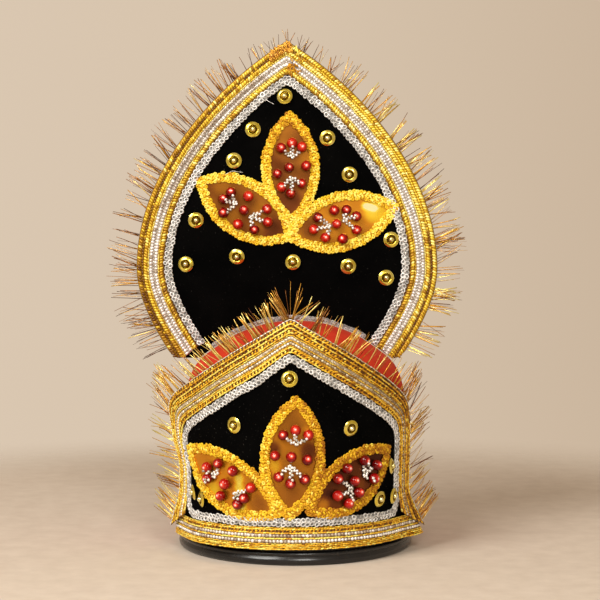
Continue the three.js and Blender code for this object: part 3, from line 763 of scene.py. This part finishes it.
def repeated(faces, count, step):
    return [[i + k * step for i in face] for k in range(count) for face in faces]


def axes_at(face, p, t, out):
    """Place, and the directions along, aside and outward, of points on a face."""
    place = ON[face]
    o = place(p, out)
    a = unit(place(p + t * 0.05, out) - o)
    n = unit(place(p, out + 0.05) - o)
    return o, a, np.cross(n, a), n


def copies(shape, o, a, b, n, size, tone):
    """Joined copies of a small shape; size gives half length, half width and half height."""
    template, faces = shape
    size = np.broadcast_to(np.asarray(size, float), (len(o), 3)) * MM
    points = o[:, None, :]
    for k, way in enumerate((a, b, n)):
        points = points + template[None, :, k:k + 1] * (way * size[:, k:k + 1])[:, None, :]
    m = len(template)
    return points.reshape(-1, 3), repeated(faces, len(o), m), np.repeat(tone, m)


# Stitches that catch the light or lie in the dark, and the length over which a row's tone drifts.
GLINT_BELOW, GLINT = 0.07, 0.4
DARK_ABOVE, DARK = 0.95, 0.4
DRIFT_LENGTH = 32


def stitch_row(face, line, pitch, size, slant, out, closed=False, loose=0.08, tones=(0.2, 1.0), drift=0.12,
               shade=None, shape=STITCH):
    """One row of stitches along a line; their tone drifts slowly on the way, as the light does on thread."""
    p = spaced(line, pitch, closed)
    if not closed:
        p = (p[:-1] + p[1:]) / 2
    t = along(p, closed)
    count = len(p)
    p = p + rng.normal(0, loose, p.shape)
    o, a, b, n = axes_at(face, p, t, np.full(count, float(out)))
    turn = np.radians(slant + rng.normal(0, 4 + 25 * loose, count))[:, None]
    lift = rng.normal(0, 0.5 * loose + 0.02, count)[:, None]
    length = unit(a * np.cos(turn) + b * np.sin(turn) + n * lift)
    width = unit(np.cross(n, length))
    height = np.cross(length, width)
    sizes = np.array(size)[None, :] * rng.normal(1, 0.06, (count, 1))
    low, high = tones
    knots = max(3, int(count * pitch / DRIFT_LENGTH))
    slow = np.interp(np.linspace(0, knots - 1, count), np.arange(knots), rng.normal(0, drift, knots))
    tone = np.clip(rng.normal((low + high) / 2, (high - low) / 3.2, count) + slow, low, high)
    if shade:
        tone = np.clip(tone + shade(*p.T), 0, 1)
    chance = rng.uniform(0, 1, count)
    tone = np.where(chance > DARK_ABOVE, tone * DARK, tone)
    tone = np.where(chance < GLINT_BELOW, np.minimum(tone + GLINT, 1.0), tone)
    return copies(shape, o, length, width, height, sizes, tone)


def band(face, outer, inner, low, high, tones=(0.0, 1.0), count=260):
    """A thin backing tape between two lines."""
    place = ON[face]
    outer, inner = even_count(outer, count), even_count(inner, count)
    corners = [place(outer, low), place(inner, low), place(inner, high), place(outer, high)]
    points = np.stack(corners, 1).reshape(-1, 3)
    return points, tube_faces(count), rng.uniform(*tones, len(points))


# Rows of the woven trims: thread, half sizes of a stitch, pitch, slants, height, tones, drift of tone,
# half width and tone of the bed that the row lies on.
ROW_KINDS = {
    "rope": ("gold", (1.8, 1.0, 0.8), 2.0, (60,), 1.15, (0.4, 0.95), 0.14, 1.7, 0.3),
    "rope_back": ("gold", (1.8, 1.0, 0.8), 2.0, (-60,), 1.15, (0.25, 0.8), 0.14, 1.7, 0.22),
    "line": ("gold", (1.3, 0.42, 0.5), 1.95, (4,), 1.05, (0.4, 0.95), 0.14, 0, 0),
    "cord": ("gold", (1.5, 0.62, 0.6), 2.0, (8,), 1.05, (0.42, 1.0), 0.18, 0, 0),
    "dash": ("gold", (1.1, 0.75, 0.5), 2.7, (40,), 0.85, (0.1, 0.75), 0.14, 0, 0),
    "dark_dash": ("gold", (0.95, 0.7, 0.5), 3.0, (50,), 0.85, (0.0, 0.45), 0.1, 0, 0),
    "chain": ("silver", (1.25, 1.2, 0.8), 2.55, (30,), 1.1, (0.3, 1.0), 0.3, 1.4, 0.12),
    "brown": ("gold", (1.2, 0.4, 0.4), 2.0, (0,), 0.85, (0.0, 0.1), 0.02, 0, 0),
    "gap": ("gold", (1.3, 0.8, 0.5), 2.0, (0,), 0.9, (0.0, 0.08), 0.02, 0, 0),
    "bead": ("silver", (1.18, 1.45, 1.0), 2.2, (12,), 1.2, (0.55, 1.0), 0.14, 1.6, 0.45),
    "small_bead": ("silver", (1.05, 0.95, 0.75), 2.1, (20,), 1.1, (0.3, 1.0), 0.2, 1.0, 0.25),
    "mesh": ("silver", (0.9, 0.4, 0.4), 2.2, (40, -40), 1.0, (0.3, 0.75), 0.14, 0.8, 0.42),
    "wide_mesh": ("silver", (1.3, 0.42, 0.4), 2.3, (42, -42), 1.05, (0.35, 0.8), 0.18, 1.25, 0.42),
    "edge": ("silver", (1.6, 0.42, 0.5), 2.9, (0,), 0.95, (0.7, 1.0), 0.12, 0, 0),
}
PLATE_METALS = {"gold": "gold_thread", "silver": "silver_thread"}
PANEL_METALS = {"gold": "panel_gold_thread", "silver": "panel_silver_thread"}
BASE_METALS = {"gold": "panel_gold_thread", "silver": "silver_thread"}
# Rows of each trim: distance from its outer edge, and kind.
PLATE_HEADING = [(2.05, "rope")]
PLATE_ROWS = [(4.3, "gap"), (6.45, "rope"), (8.4, "line"), (10.35, "bead"), (12.1, "mesh"), (13.85, "bead"),
              (15.6, "line"), (17.5, "rope_back"), (19.4, "brown")]
PANEL_HEADING = [(0.4, "edge"), (1.6, "dash"), (2.9, "cord")]
PANEL_ROWS = [(4.2, "dark_dash"), (5.4, "cord"), (6.9, "dash"), (8.2, "cord"), (9.5, "line"),
              (11.2, "wide_mesh"), (12.7, "line"), (14.2, "small_bead"), (15.7, "line"), (16.7, "cord"),
              (18.0, "dash"), (19.2, "cord")]
BASE_ROWS = [(0.9, "cord"), (2.1, "line"), (3.2, "cord"), (4.4, "line"), (6.2, "chain"), (8.1, "cord"),
             (10.0, "chain"), (11.8, "cord"), (13.1, "dash"), (14.3, "cord"), (15.4, "line")]


def trim(name, face, rail, rows, width, replaced, metals, tone_shifts):
    """Woven trim: a dark backing tape under rows of gold and silver stitches, with tone shifts by kind or
    thread, some of them painted light and shade.
    """
    near, far = width
    backing = [band(face, rail(near), rail(far), 0.3, 0.6)]
    joined_piece(name + "_backing", backing, "trim_backing", replaced)
    piles = {"gold": [], "silver": []}
    for inset, kind in rows:
        thread, size, pitch, slants, out, tones, drift, bed, bed_tone = ROW_KINDS[kind]
        if bed:
            lines = (rail(inset - bed), rail(inset + bed))
            piles[thread].append(band(face, *lines, 0.4, out - 0.25, (bed_tone - 0.06, bed_tone + 0.06)))
        tone_shift = tone_shifts.get(kind, tone_shifts.get(thread))
        for slant in slants:
            piles[thread].append(stitch_row(face, rail(inset), pitch, size, slant, out, tones=tones,
                                            drift=drift, shade=tone_shift))
    for thread, pile in piles.items():
        if pile:
            joined_piece(f"{name}_{thread}", pile, metals[thread])


# Crocheted silver braid: the loops' distance aside, pitch, slant and half sizes, the knots' half sizes, and
# half the width of the core.
LOOP_ASIDE, LOOP_PITCH, LOOP_SLANT, LOOP_SIZE = 1.45, 3.3, 30, (2.1, 1.65, 0.62)
KNOT_SIZE, CORE_HALF_WIDTH = (1.3, 0.55, 0.6), 2.5


def crochet_braid(name, face, line, closed, finish, scale, replaced):
    """Silver braid of two columns of crocheted loops over a grey core, with a knot between each pair."""
    parts = []
    pitch = LOOP_PITCH * scale
    loop, knot = np.array([LOOP_SIZE, KNOT_SIZE]) * scale
    for side in (-1, 1):
        column = drawn_in(line, side * LOOP_ASIDE * scale, closed)
        parts.append(stitch_row(face, column, pitch, loop, -side * LOOP_SLANT, 1.15, closed, 0.26 * scale,
                                (0.3, 1.0), shape=RING_LOOP))
    parts.append(stitch_row(face, line, pitch, knot, 0, 1.4, closed, 0.2 * scale, (0.3, 1.0)))
    joined_piece(name, parts, finish, replaced)
    edges = [drawn_in(line, side * CORE_HALF_WIDTH * scale, closed) for side in (-1, 1)]
    if closed:
        edges = [np.vstack([edge, edge[:1]]) for edge in edges]
    joined_piece(name + "_core", [band(face, *edges, 0.3, 0.8)], "silver_braid_core")


# Columns of the petal braid: aside, half sizes of a knot, pitch, slant, height, tones, shape.
PETAL_COLUMNS = [(-2.4, (1.7, 1.35, 0.75), 2.6, 15, 1.0, (0.15, 0.8), TIGHT_LOOP),
                 (-1.1, (1.5, 0.8, 0.6), 2.2, 45, 1.35, (0.25, 0.9), STITCH),
                 (0.2, (1.5, 0.8, 0.6), 2.2, -45, 1.4, (0.25, 0.95), STITCH),
                 (1.45, (1.4, 0.8, 0.6), 2.2, 45, 1.3, (0.2, 0.85), STITCH),
                 (2.5, (1.65, 1.3, 0.75), 2.5, -15, 1.0, (0.1, 0.75), TIGHT_LOOP)]
PETAL_LIGHT = {
    "plate": lambda x, y: 0.32 - 0.38 * rise(y, 255, 40),
    "panel": lambda x, y: 0.1 - 0.42 * rise(x, -30, 80),
}


def petal_braid(name, face, petals, replaced):
    """Crocheted gold braid round the petals: columns of knots and looped edges over a soft core."""
    parts, cores = [], []
    middle = PETAL_BRAID_WIDTH / 2
    for number, petal in enumerate(petals):
        over = 0.25 * number
        for aside, size, pitch, slant, out, tones, shape in PETAL_COLUMNS:
            line = petal_line(petal, middle + aside)
            parts.append(stitch_row(face, line, pitch, size, slant, out + over, True, 0.3, tones,
                                    shade=PETAL_LIGHT[face], shape=shape))
        rims = [petal_line(petal, inset) for inset in (0.5, PETAL_BRAID_WIDTH - 0.5)]
        cores.append(band(face, *[np.vstack([rim, rim[:1]]) for rim in rims], 0.35, 0.95 + over))
    joined_piece(name, parts, "petal_gold_thread", replaced)
    joined_piece(name + "_core", cores, "petal_braid_core")


STRAND_ROWS, STRAND_HALF_THICK, STRAND_TAPER = 4, 0.07, 0.4


def tinsel(name, face, line, count, lean, sweep, shine, long, wide, kept, wild):
    """Flat tinsel strands that stand out of an edge in small locks."""
    total = lengths(line)[-1]
    locks = np.sort(rng.uniform(0, total, count // 2))
    lock = rng.integers(0, len(locks), count)
    at = np.clip(locks[lock] + rng.normal(0, 0.9, count), 0.5, total - 0.5)
    stay = rng.uniform(0, 1, count) < kept(*at_lengths(line, at).T)
    at, lock = at[stay], lock[stay]
    count = len(at)
    p = at_lengths(line, at)
    t = unit(at_lengths(line, at + 0.4) - at_lengths(line, at - 0.4))
    o, a, b, n = axes_at(face, p, t, np.full(count, 0.5))
    fan = rng.normal(0, 0.16, len(locks))[lock] + rng.normal(0, 1, count) * (0.07 + wild(*p.T))
    tip = rng.normal(0, 0.12, len(locks))[lock] + rng.normal(0, 0.06, count)
    aim = -b + a * fan[:, None] + n * (lean(*p.T) + tip)[:, None]
    aim = unit(aim + sweep(*p.T))
    low, high = long(*p.T)
    reach = np.clip(rng.normal((low + high) / 2, (high - low) / 3.5, count), low * 0.6, high) * MM
    bend = unit(np.cross(aim, rng.normal(0, 1, (count, 3))))
    width = np.cross(bend, aim)
    curl = rng.normal(0, 0.05, count)
    tone = shine(*p.T) + rng.normal(0, 0.18, len(locks))[lock] + rng.normal(0, 0.24, count)
    tone = np.clip(tone, 0, 1)
    half = rng.uniform(*wide, count) * (0.6 + 0.5 * tone) * MM / 2
    u = bend * (STRAND_HALF_THICK * MM)
    rows = []
    for f in np.arange(STRAND_ROWS) / (STRAND_ROWS - 1):
        spot = o + aim * (reach * f)[:, None] + bend * (reach * curl * f * f)[:, None]
        w = width * (half * (1 - STRAND_TAPER * f))[:, None]
        rows.append(np.stack([spot - w - u, spot + w - u, spot + w + u, spot - w + u], 1))
    points = np.stack(rows, 1).reshape(-1, 3)
    m = STRAND_ROWS * 4
    strands = (points, repeated(tube_faces(STRAND_ROWS), count, m), np.repeat(tone, m))
    joined_piece(name, [strands], "gold_tinsel")


FILM_ROWS, FILM_TOP, FILM_UNDER, FILM_WAVE = 14, 0.55, 0.25, 0.07


def make_foil(petal):
    """Creased film inside a petal, tucked under its braid."""
    face, across, up, *_, tone = PETALS[petal]
    place = ON[face]
    rim = petal_line(petal, 2.2, 48)
    centre = np.array([[across, up]])
    points = [place(centre, FILM_TOP)]
    flat = [centre]
    for r in range(1, FILM_ROWS + 1):
        f = r / FILM_ROWS
        ring = centre + (rim - centre) * f
        x, y = ring.T
        wave = np.sin(x / 3.3 + y / 5.1) * np.sin(y / 2.7 - x / 7.0)
        points.append(place(ring, FILM_TOP + FILM_WAVE * wave * (1 - f * f)))
        flat.append(ring)
    points += [place(rim, FILM_UNDER), place(centre, FILM_UNDER)]
    flat = np.vstack(flat + [rim, centre])
    # Painted reflection and shade: the petal's film tone, and its patches of light and shade.
    tones = np.full(len(flat), tone)
    for u, v, size, change in FILM_PATCHES[petal]:
        away = ((flat - petal_point(petal, u, v)) ** 2).sum(1) / size ** 2
        tones = tones + change * np.exp(-away ** 2)
    faces = [(first, *others[::-1]) for first, *others in round_faces(len(rim), FILM_ROWS + 1)]
    joined_piece(petal + "_film", [(np.vstack(points), faces, tones)], "gold_film", (petal,))


def beads_at(face, p, radius, out, shape, tones):
    """Beads whose upper end tips a little upwards."""
    count = len(p)
    t = np.tile([[1.0, 0.0]], (count, 1))
    o, a, b, n = axes_at(face, p, t, np.broadcast_to(out, count))
    tip = rng.normal(0, 0.1, (2, count, 1)) + np.array([0.04, 0.14])[:, None, None]
    n = unit(n + a * tip[0] + b * tip[1])
    b = unit(np.cross(n, a))
    sizes = np.full((count, 3), radius) * rng.normal(1, 0.03, (count, 1))
    return copies(shape, o, np.cross(b, n), b, n, sizes, rng.uniform(*tones, count))


def make_beads(side, petals):
    """Red beads on the film, with a painted highlight at each top and painted shade towards the rims; the
    strings of seed beads run up onto their tops.
    """
    face = PETALS[petals[0]][0]
    red, seeds = [], []
    for petal in petals:
        uv = np.array(BEADS[petal], float)
        points, faces, tones = beads_at(face, petal_point(petal, *uv.T), RED_RADIUS, RED_HEIGHT, BEAD,
                                        (-0.05, 0.4))
        # Painted light on the red beads: a near white painted highlight at the top, a paler ring round it,
        # and painted shade darker towards the rim.
        facing = np.tile(BEAD[0][:, 2], len(uv))
        painted_highlight = np.where(facing > 0.99, 1.0, 0.62)
        red.append((points, faces, np.where(facing > 0.9, painted_highlight, tones + 0.3 * (facing - 0.6))))
        for spray in SPRAYS[petal]:
            root = np.array(spray[0])
            for number, end in enumerate(np.array(spray[1:])):
                gap = np.linalg.norm(end - root)
                f = np.arange(0.0 if number == 1 else SEED_PITCH, gap + 0.1, SEED_PITCH) / gap
                aside = np.array([root[1] - end[1], end[0] - root[0]]) / gap * SEED_ASIDE
                twist = np.where(np.arange(len(f)) % 2, 1.0, -1.0)[:, None]
                q = root + (end - root) * f[:, None] + aside * twist + rng.normal(0, 0.15, (len(f), 2))
                near = np.linalg.norm(q[:, None, :] - uv[None, :, :], axis=2).min(1)
                over = RED_HEIGHT + np.sqrt(np.clip(RED_RADIUS ** 2 - near ** 2, 0, None)) + 0.5
                out = np.where(near < RED_RADIUS, over, SEED_HEIGHT)
                spots = petal_point(petal, *q.T)
                seeds.append(beads_at(face, spots, SEED_RADIUS, out, SEED_BEAD, (0, 1)))
    joined_piece(side + "_red_beads", red, "red_glass_bead")
    joined_piece(side + "_seed_beads", seeds, "silver_seed_bead")


def model_sequin():
    """One cup sequin with the small bead that holds it, lying flat at the origin."""
    radii, heights, tones = zip(*SEQUIN_ROWS)
    piece = new_shape("sequin_model", bpy.ops.mesh.primitive_circle_add, vertices=24, radius=radii[0] * MM,
                      location=(0, 0, 0))
    raise_rows(list(zip(radii, heights)))
    face_outward()
    add_modifier(piece, "SOLIDIFY", thickness=0.25 * MM, offset=0)
    shade_by_angle(30)
    radius, height, bead_tone = SEQUIN_BEAD
    middle = (0, 0, height * MM)
    new_shape("sequin_bead_model", bpy.ops.mesh.primitive_uv_sphere_add, segments=16, ring_count=10,
              radius=radius * MM, location=middle)
    bpy.ops.object.shade_smooth()
    piece.select_set(True)
    bpy.context.view_layer.objects.active = piece
    bpy.ops.object.join()
    # Tones by radius, with painted shade inside the cup.
    values = []
    for v in piece.data.vertices:
        r = math.hypot(v.co.x, v.co.y) / MM
        on_bead = math.dist(v.co, middle) / MM < radius * 1.02
        values.append(bead_tone if on_bead else float(np.interp(r, radii, tones)))
    piece.data.attributes.new("tone", "FLOAT", "POINT").data.foreach_set("value", values)
    return piece


def make_sequins():
    model = model_sequin()
    for face, name in (("plate", "back_sequin"), ("panel", "front_sequin")):
        for number, (across, up, lift, side) in enumerate(SEQUINS[face], 1):
            node = f"{name}_{number:02d}"
            spot = np.array([[across, up]], float)
            axes = axes_at(face, spot, np.array([[1.0, 0.0]]), np.array([0.3 + lift]))
            o, a, b, n = (way[0] for way in axes)
            tip = rng.normal(0, 0.1, 2)
            tip[0] += math.tan(math.radians(side))
            up_way = Vector(n + a * tip[0] + b * tip[1]).normalized()
            across_way = Vector(b).cross(up_way).normalized()
            aside_way = up_way.cross(across_way)
            piece = model.copy()
            piece.data = model.data.copy()
            piece.name = node + "_cup"
            piece.data.name = piece.name
            bpy.context.collection.objects.link(piece)
            turn = Matrix((across_way, aside_way, up_way)).transposed().to_4x4()
            spin = Matrix.Rotation(rng.uniform(0, 6), 4, "Z")
            piece.data.transform(Matrix.Translation(o) @ turn @ spin)
            keep(piece, "gold_sequin", (node,))
    bpy.data.objects.remove(model, do_unlink=True)


def strewn(spots, turn, heights, size, tones):
    """Stitches that lie loose on the plate, each turned its own way."""
    count = len(spots)
    way = np.stack([np.cos(turn), np.sin(turn)], 1)
    axes = axes_at("plate", spots, way, rng.uniform(*heights, count))
    sizes = np.array([size]) * rng.uniform(0.7, 1.2, (count, 1))
    return copies(STITCH, *axes, sizes, rng.uniform(*tones, count))


def apex_bunch():
    """Gathered thread where the fringe's heading turns over the plate's peak, and the lace's folded end."""
    count = 190
    across = rng.uniform(-12, 3.5, count)
    spots = np.stack([across, 358.2 - 0.62 * np.abs(across) - rng.uniform(0, 6.5, count)], 1)
    fuzz = strewn(spots, rng.normal(2.1, 0.5, count), (1.5, 2.6), (2.0, 0.42, 0.42), (0.3, 0.75))
    count = 26
    spots = np.stack([rng.normal(4.5, 2.6, count), rng.normal(340, 3.6, count)], 1)
    fold = strewn(spots, rng.uniform(0, math.pi, count), (1.6, 2.6), (2.3, 0.65, 0.6), (0.0, 0.4))
    axes = axes_at("plate", np.array([[7.4, 351.8]]), np.array([[0.26, -0.97]]), np.array([2.2]))
    thread = copies(STITCH, *axes, np.array([[4.6, 0.7, 0.6]]), np.array([1.0]))
    joined_piece("apex_gathered_thread", [fuzz], "gold_tinsel")
    joined_piece("apex_folded_lace", [fold, thread], "petal_gold_thread")


def loose_threads():
    """Two ends of silver thread that lie loose on the plate."""
    rows = []
    for line in ([(-19, 321), (-14, 316.5), (-9.5, 314)], [(-46, 263), (-39, 266.5), (-31.5, 265.5)]):
        rows.append(stitch_row("plate", np.array(line, float), 1.1, (0.9, 0.22, 0.22), 0, 1.2, loose=0.03))
    joined_piece("loose_silver_threads", rows, "silver_braid_thread")


def make_plate_trims():
    edge = plate_edge()

    def rail(inset):
        return to_the_sole(drawn_in(edge, inset), -0.4)

    def dull_left(x, y):
        return (-0.18 - 0.24 * rise(-y, -285, 50)) * smooth(-x / 60 + 0.2) - 0.08 * rise(-y, -230, 60)

    # Painted light and shadow on the plate's gold rows: lighter at the top and upper right, darker towards
    # the lower ends as painted shadow of the cap and front panel.
    def painted_light_top(x, y):
        upper_right = rise(x, 0, 30) * rise(y, 215, 30)
        return 0.05 * rise(y, 200, 80) - 0.1 * rise(-y, -200, 50) + 0.1 * upper_right

    def grey_left(x, y):
        return -0.3 * rise(-x, 0, 25) * rise(y, 225, 30)

    def shut_gap(x, y):
        return 0.55 * rise(x, 0, 30) * rise(y, 215, 30)

    trim("back_fringe_heading", "plate", rail, PLATE_HEADING, (0.2, 4.2), ("back_fringe",), PLATE_METALS,
         {"gold": dull_left})
    trim("back_lace", "plate", rail, PLATE_ROWS, (4.2, 19.9), ("back_lace",), PLATE_METALS,
         {"gold": painted_light_top, "silver": grey_left, "gap": shut_gap})
    crochet_braid("back_silver_braid_loops", "plate", rail(22.8), False, "silver_braid_thread", 1.0,
                  ("back_silver_braid",))
    crochet_braid("seam_braid_loops", "plate", sole_line(56, 80, 1.9), False, "seam_braid_thread", 0.55,
                  ("seam_braid",))
    apex_bunch()
    loose_threads()

    def lean(x, y):
        return 0.05

    def sweep(x, y):
        return np.array([0, 0, 0.22])

    def shine(x, y):
        peak = rise(y, 325, 28)
        return 0.3 + 0.32 * rise(x, -30, 70) * (1 - peak) - 0.12 * peak

    def long(x, y):
        peak = rise(y, 320, 32)
        return 12 - 6 * peak, 22 - 11 * peak

    def kept(x, y):
        return 1 - 0.6 * rise(y, 325, 25)

    def wild(x, y):
        return 0.4 * rise(y, 325, 28)

    tinsel("back_fringe_tinsel", "plate", edge, 540, lean, sweep, shine, long, (0.5, 1.1), kept, wild)


def make_panel_trims():
    edge = panel_edge()

    def sagged(line, inset):
        left = rise(-line[:, 0], 4, 22) * rise(line[:, 0], -104, 24)
        return line - np.stack([0 * left, 0.12 * inset * left], 1)

    def rail(inset):
        return sagged(eased(above(drawn_in(edge, inset), 15 + 0.55 * inset), int(4 + inset * 1.6)), inset)

    # Painted shade on the panel's gold rows: darker to the right, away from the light on the left, and low
    # down.
    def painted_shade_right(x, y):
        return 0.06 - 0.26 * rise(x, 0, 50) - 0.1 * rise(-y, -60, 40)

    # Painted light on the panel's silver rows: painted shade to the right, and painted highlight patches on
    # the left slope and at the peak.
    def painted_silver_light(x, y):
        return -0.06 - 0.2 * rise(x, 0, 40) + 0.4 * (swell(x, -30, 12) + 0.8 * swell(x, -2, 7))

    tone_shifts = {"gold": painted_shade_right, "silver": painted_silver_light}
    trim("front_fringe_heading", "side_trim", rail, PANEL_HEADING, (0.2, 4.3), ("front_fringe",),
         PANEL_METALS, tone_shifts)
    trim("front_lace", "side_trim", rail, PANEL_ROWS, (4.2, 19.8), ("front_lace",), PANEL_METALS, tone_shifts)
    sides = np.linspace(-PANEL_FOOT, PANEL_FOOT, 235)
    base = np.stack([sides, np.full(len(sides), PANEL_BOTTOM)], 1)
    trim("front_base_lace", "base_trim", lambda d: base + [0, d], BASE_ROWS, (0.2, BASE_TRIM_WIDTH - 0.3),
         ("front_base_lace",), BASE_METALS, {})
    inset = 23.2
    field = eased(drawn_in(panel_edge(PANEL_BOTTOM - 4), inset, True), 40, True)
    upper = rise(field[:, 1], 55, 25)[:, None]
    field = field * (1 - upper) + sagged(field, inset) * upper
    crochet_braid("front_silver_braid_loops", "panel", field, True, "silver_braid_thread", 1.0,
                  ("front_silver_braid",))

    def lean(x, y):
        return 0.1 + 0.45 * rise(np.abs(x), 0, PANEL_SIDE)

    def sweep(x, y):
        side = rise(np.abs(x), 85, 25)
        up = np.where(x > 0, 0.8, 0.35) * side
        across = np.where(x > 0, 0.1, -0.35) * (1 - side) * rise(np.abs(x), 8, 40)
        return np.stack([across, 0 * up, up], 1)

    def shine(x, y):
        return 0.6 - 0.06 * rise(x, 0, 100) + 0.1 * rise(-x, 0, 60) - 0.2 * swell(x, 0, 9)

    def long(x, y):
        side, peak = rise(np.abs(x), 70, 30), swell(x, 0, 9)
        return 11 + 4 * side + 5 * peak, 20 + 5 * side + 5 * peak

    def kept(x, y):
        return 1 - 0.6 * rise(x, 50, 14) * rise(-x, -102, 10)

    def wild(x, y):
        return 0.06 * rise(np.abs(x), 60, 30)

    tinsel("front_fringe_tinsel", "side_trim", above(edge, 20), 520, lean, sweep, shine, long, (0.5, 1.05),
           kept, wild)


# The crown
make_stand_ring()
make_cap()
make_back_plate()
make_front_panel()
make_plate_trims()
make_panel_trims()
petal_braid("back_petal_loops", "plate", BACK_PETALS, ("back_petal_braid",))
petal_braid("front_petal_loops", "panel", FRONT_PETALS, ("front_petal_braid",))
for petal in PETALS:
    make_foil(petal)
make_beads("back", BACK_PETALS)
make_beads("front", FRONT_PETALS)
make_sequins()

# Lamps: name, place, size, power and colour, and the place they aim at.
LAMPS = [("key_lamp", (-0.85, -1.05, 1.2), 0.9, 24, (1.0, 0.97, 0.92)),
         ("front_lamp", (0.25, -1.4, 0.8), 0.5, 11, (1.0, 0.97, 0.91))]
LAMP_AIM = (0, 0, 0.17)
CAMERA_PLACE, CAMERA_TILT, CAMERA_LENS, CAMERA_SENSOR = (0.0093, -1.45, 0.263), 3.5, 121.8, 36


# Floor, light and camera
def make_floor():
    floor = new_shape("pale_floor", bpy.ops.mesh.primitive_circle_add, vertices=96, radius=1.2,
                      fill_type="NGON", location=(0, 0, 0))
    finish, tree, shader = new_finish("pale_floor")
    stops = [(0.3, (0.6, 0.515, 0.43)), (0.7, (0.67, 0.585, 0.495))]
    cloth = shades(tree, grain(tree, 60, 5), stops)
    feed(tree, shader, {"Base Color": cloth, "Roughness": 0.9, "Specular IOR Level": 0.1})
    reach = add_node(tree, "VectorMath", {0: place_on(tree)}, operation="LENGTH").outputs["Value"]
    fade = {"From Min": 0.36, "From Max": 0.62, "Value": reach}
    edge = add_node(tree, "MapRange", fade, interpolation_type="SMOOTHSTEP").outputs["Result"]
    clear = add_node(tree, "BsdfTransparent", {}).outputs["BSDF"]
    mix = add_node(tree, "MixShader", {"Fac": edge, 1: shader.outputs["BSDF"], 2: clear})
    feed(tree, tree.nodes["Material Output"], {"Surface": mix.outputs["Shader"]})
    floor.data.materials.append(finish)


def make_room():
    """A beige backdrop with painted shade, darker from left to right, and a dimmer light from the room than
    the backdrop shows.
    """
    world = bpy.data.worlds.new("soft_room")
    bpy.context.scene.world = world
    world.use_nodes = True
    tree = world.node_tree
    light = tree.nodes["Background"]
    feed(tree, light, {"Color": (0.85, 0.65, 0.46, 1), "Strength": 0.5})
    # Painted shade on the backdrop: its colour darkens from left to right.
    way = add_node(tree, "SeparateXYZ", {"Vector": place_on(tree, "Generated")})
    across = {"From Min": -0.15, "From Max": 0.15, "Value": way.outputs["X"]}
    painted_falloff = add_node(tree, "MapRange", across).outputs["Result"]
    stops = [(0.0, (0.7, 0.57, 0.438)), (0.5, (0.675, 0.545, 0.41)), (1.0, (0.6, 0.47, 0.345))]
    backdrop = add_node(tree, "Background", {"Color": shades(tree, painted_falloff, stops)})
    seen = add_node(tree, "LightPath", {}).outputs["Is Camera Ray"]
    views = {"Fac": seen, 1: light.outputs["Background"], 2: backdrop.outputs["Background"]}
    mix = add_node(tree, "MixShader", views)
    feed(tree, tree.nodes["World Output"], {"Surface": mix.outputs["Shader"]})


def make_lamps():
    for name, place, size, power, colour in LAMPS:
        data = bpy.data.lights.new(name, "AREA")
        data.shape = "DISK"
        data.size = size
        data.energy = power
        data.color = colour
        lamp = bpy.data.objects.new(name, data)
        lamp.location = place
        lamp.rotation_euler = (Vector(LAMP_AIM) - Vector(place)).to_track_quat("-Z", "Y").to_euler()
        bpy.context.collection.objects.link(lamp)


def make_camera():
    scene = bpy.context.scene
    scene.view_settings.view_transform = "Standard"
    data = bpy.data.cameras.new("photo_camera")
    data.lens = CAMERA_LENS
    data.sensor_width = CAMERA_SENSOR
    camera = bpy.data.objects.new("photo_camera", data)
    x, y, z = CAMERA_PLACE
    camera.location = (x + SHIFT_X * MM, y + SHIFT_Y * MM, z)
    camera.rotation_euler = (math.radians(90 - CAMERA_TILT), 0, 0)
    bpy.context.collection.objects.link(camera)
    scene.camera = camera


make_floor()
make_room()
make_lamps()
make_camera()
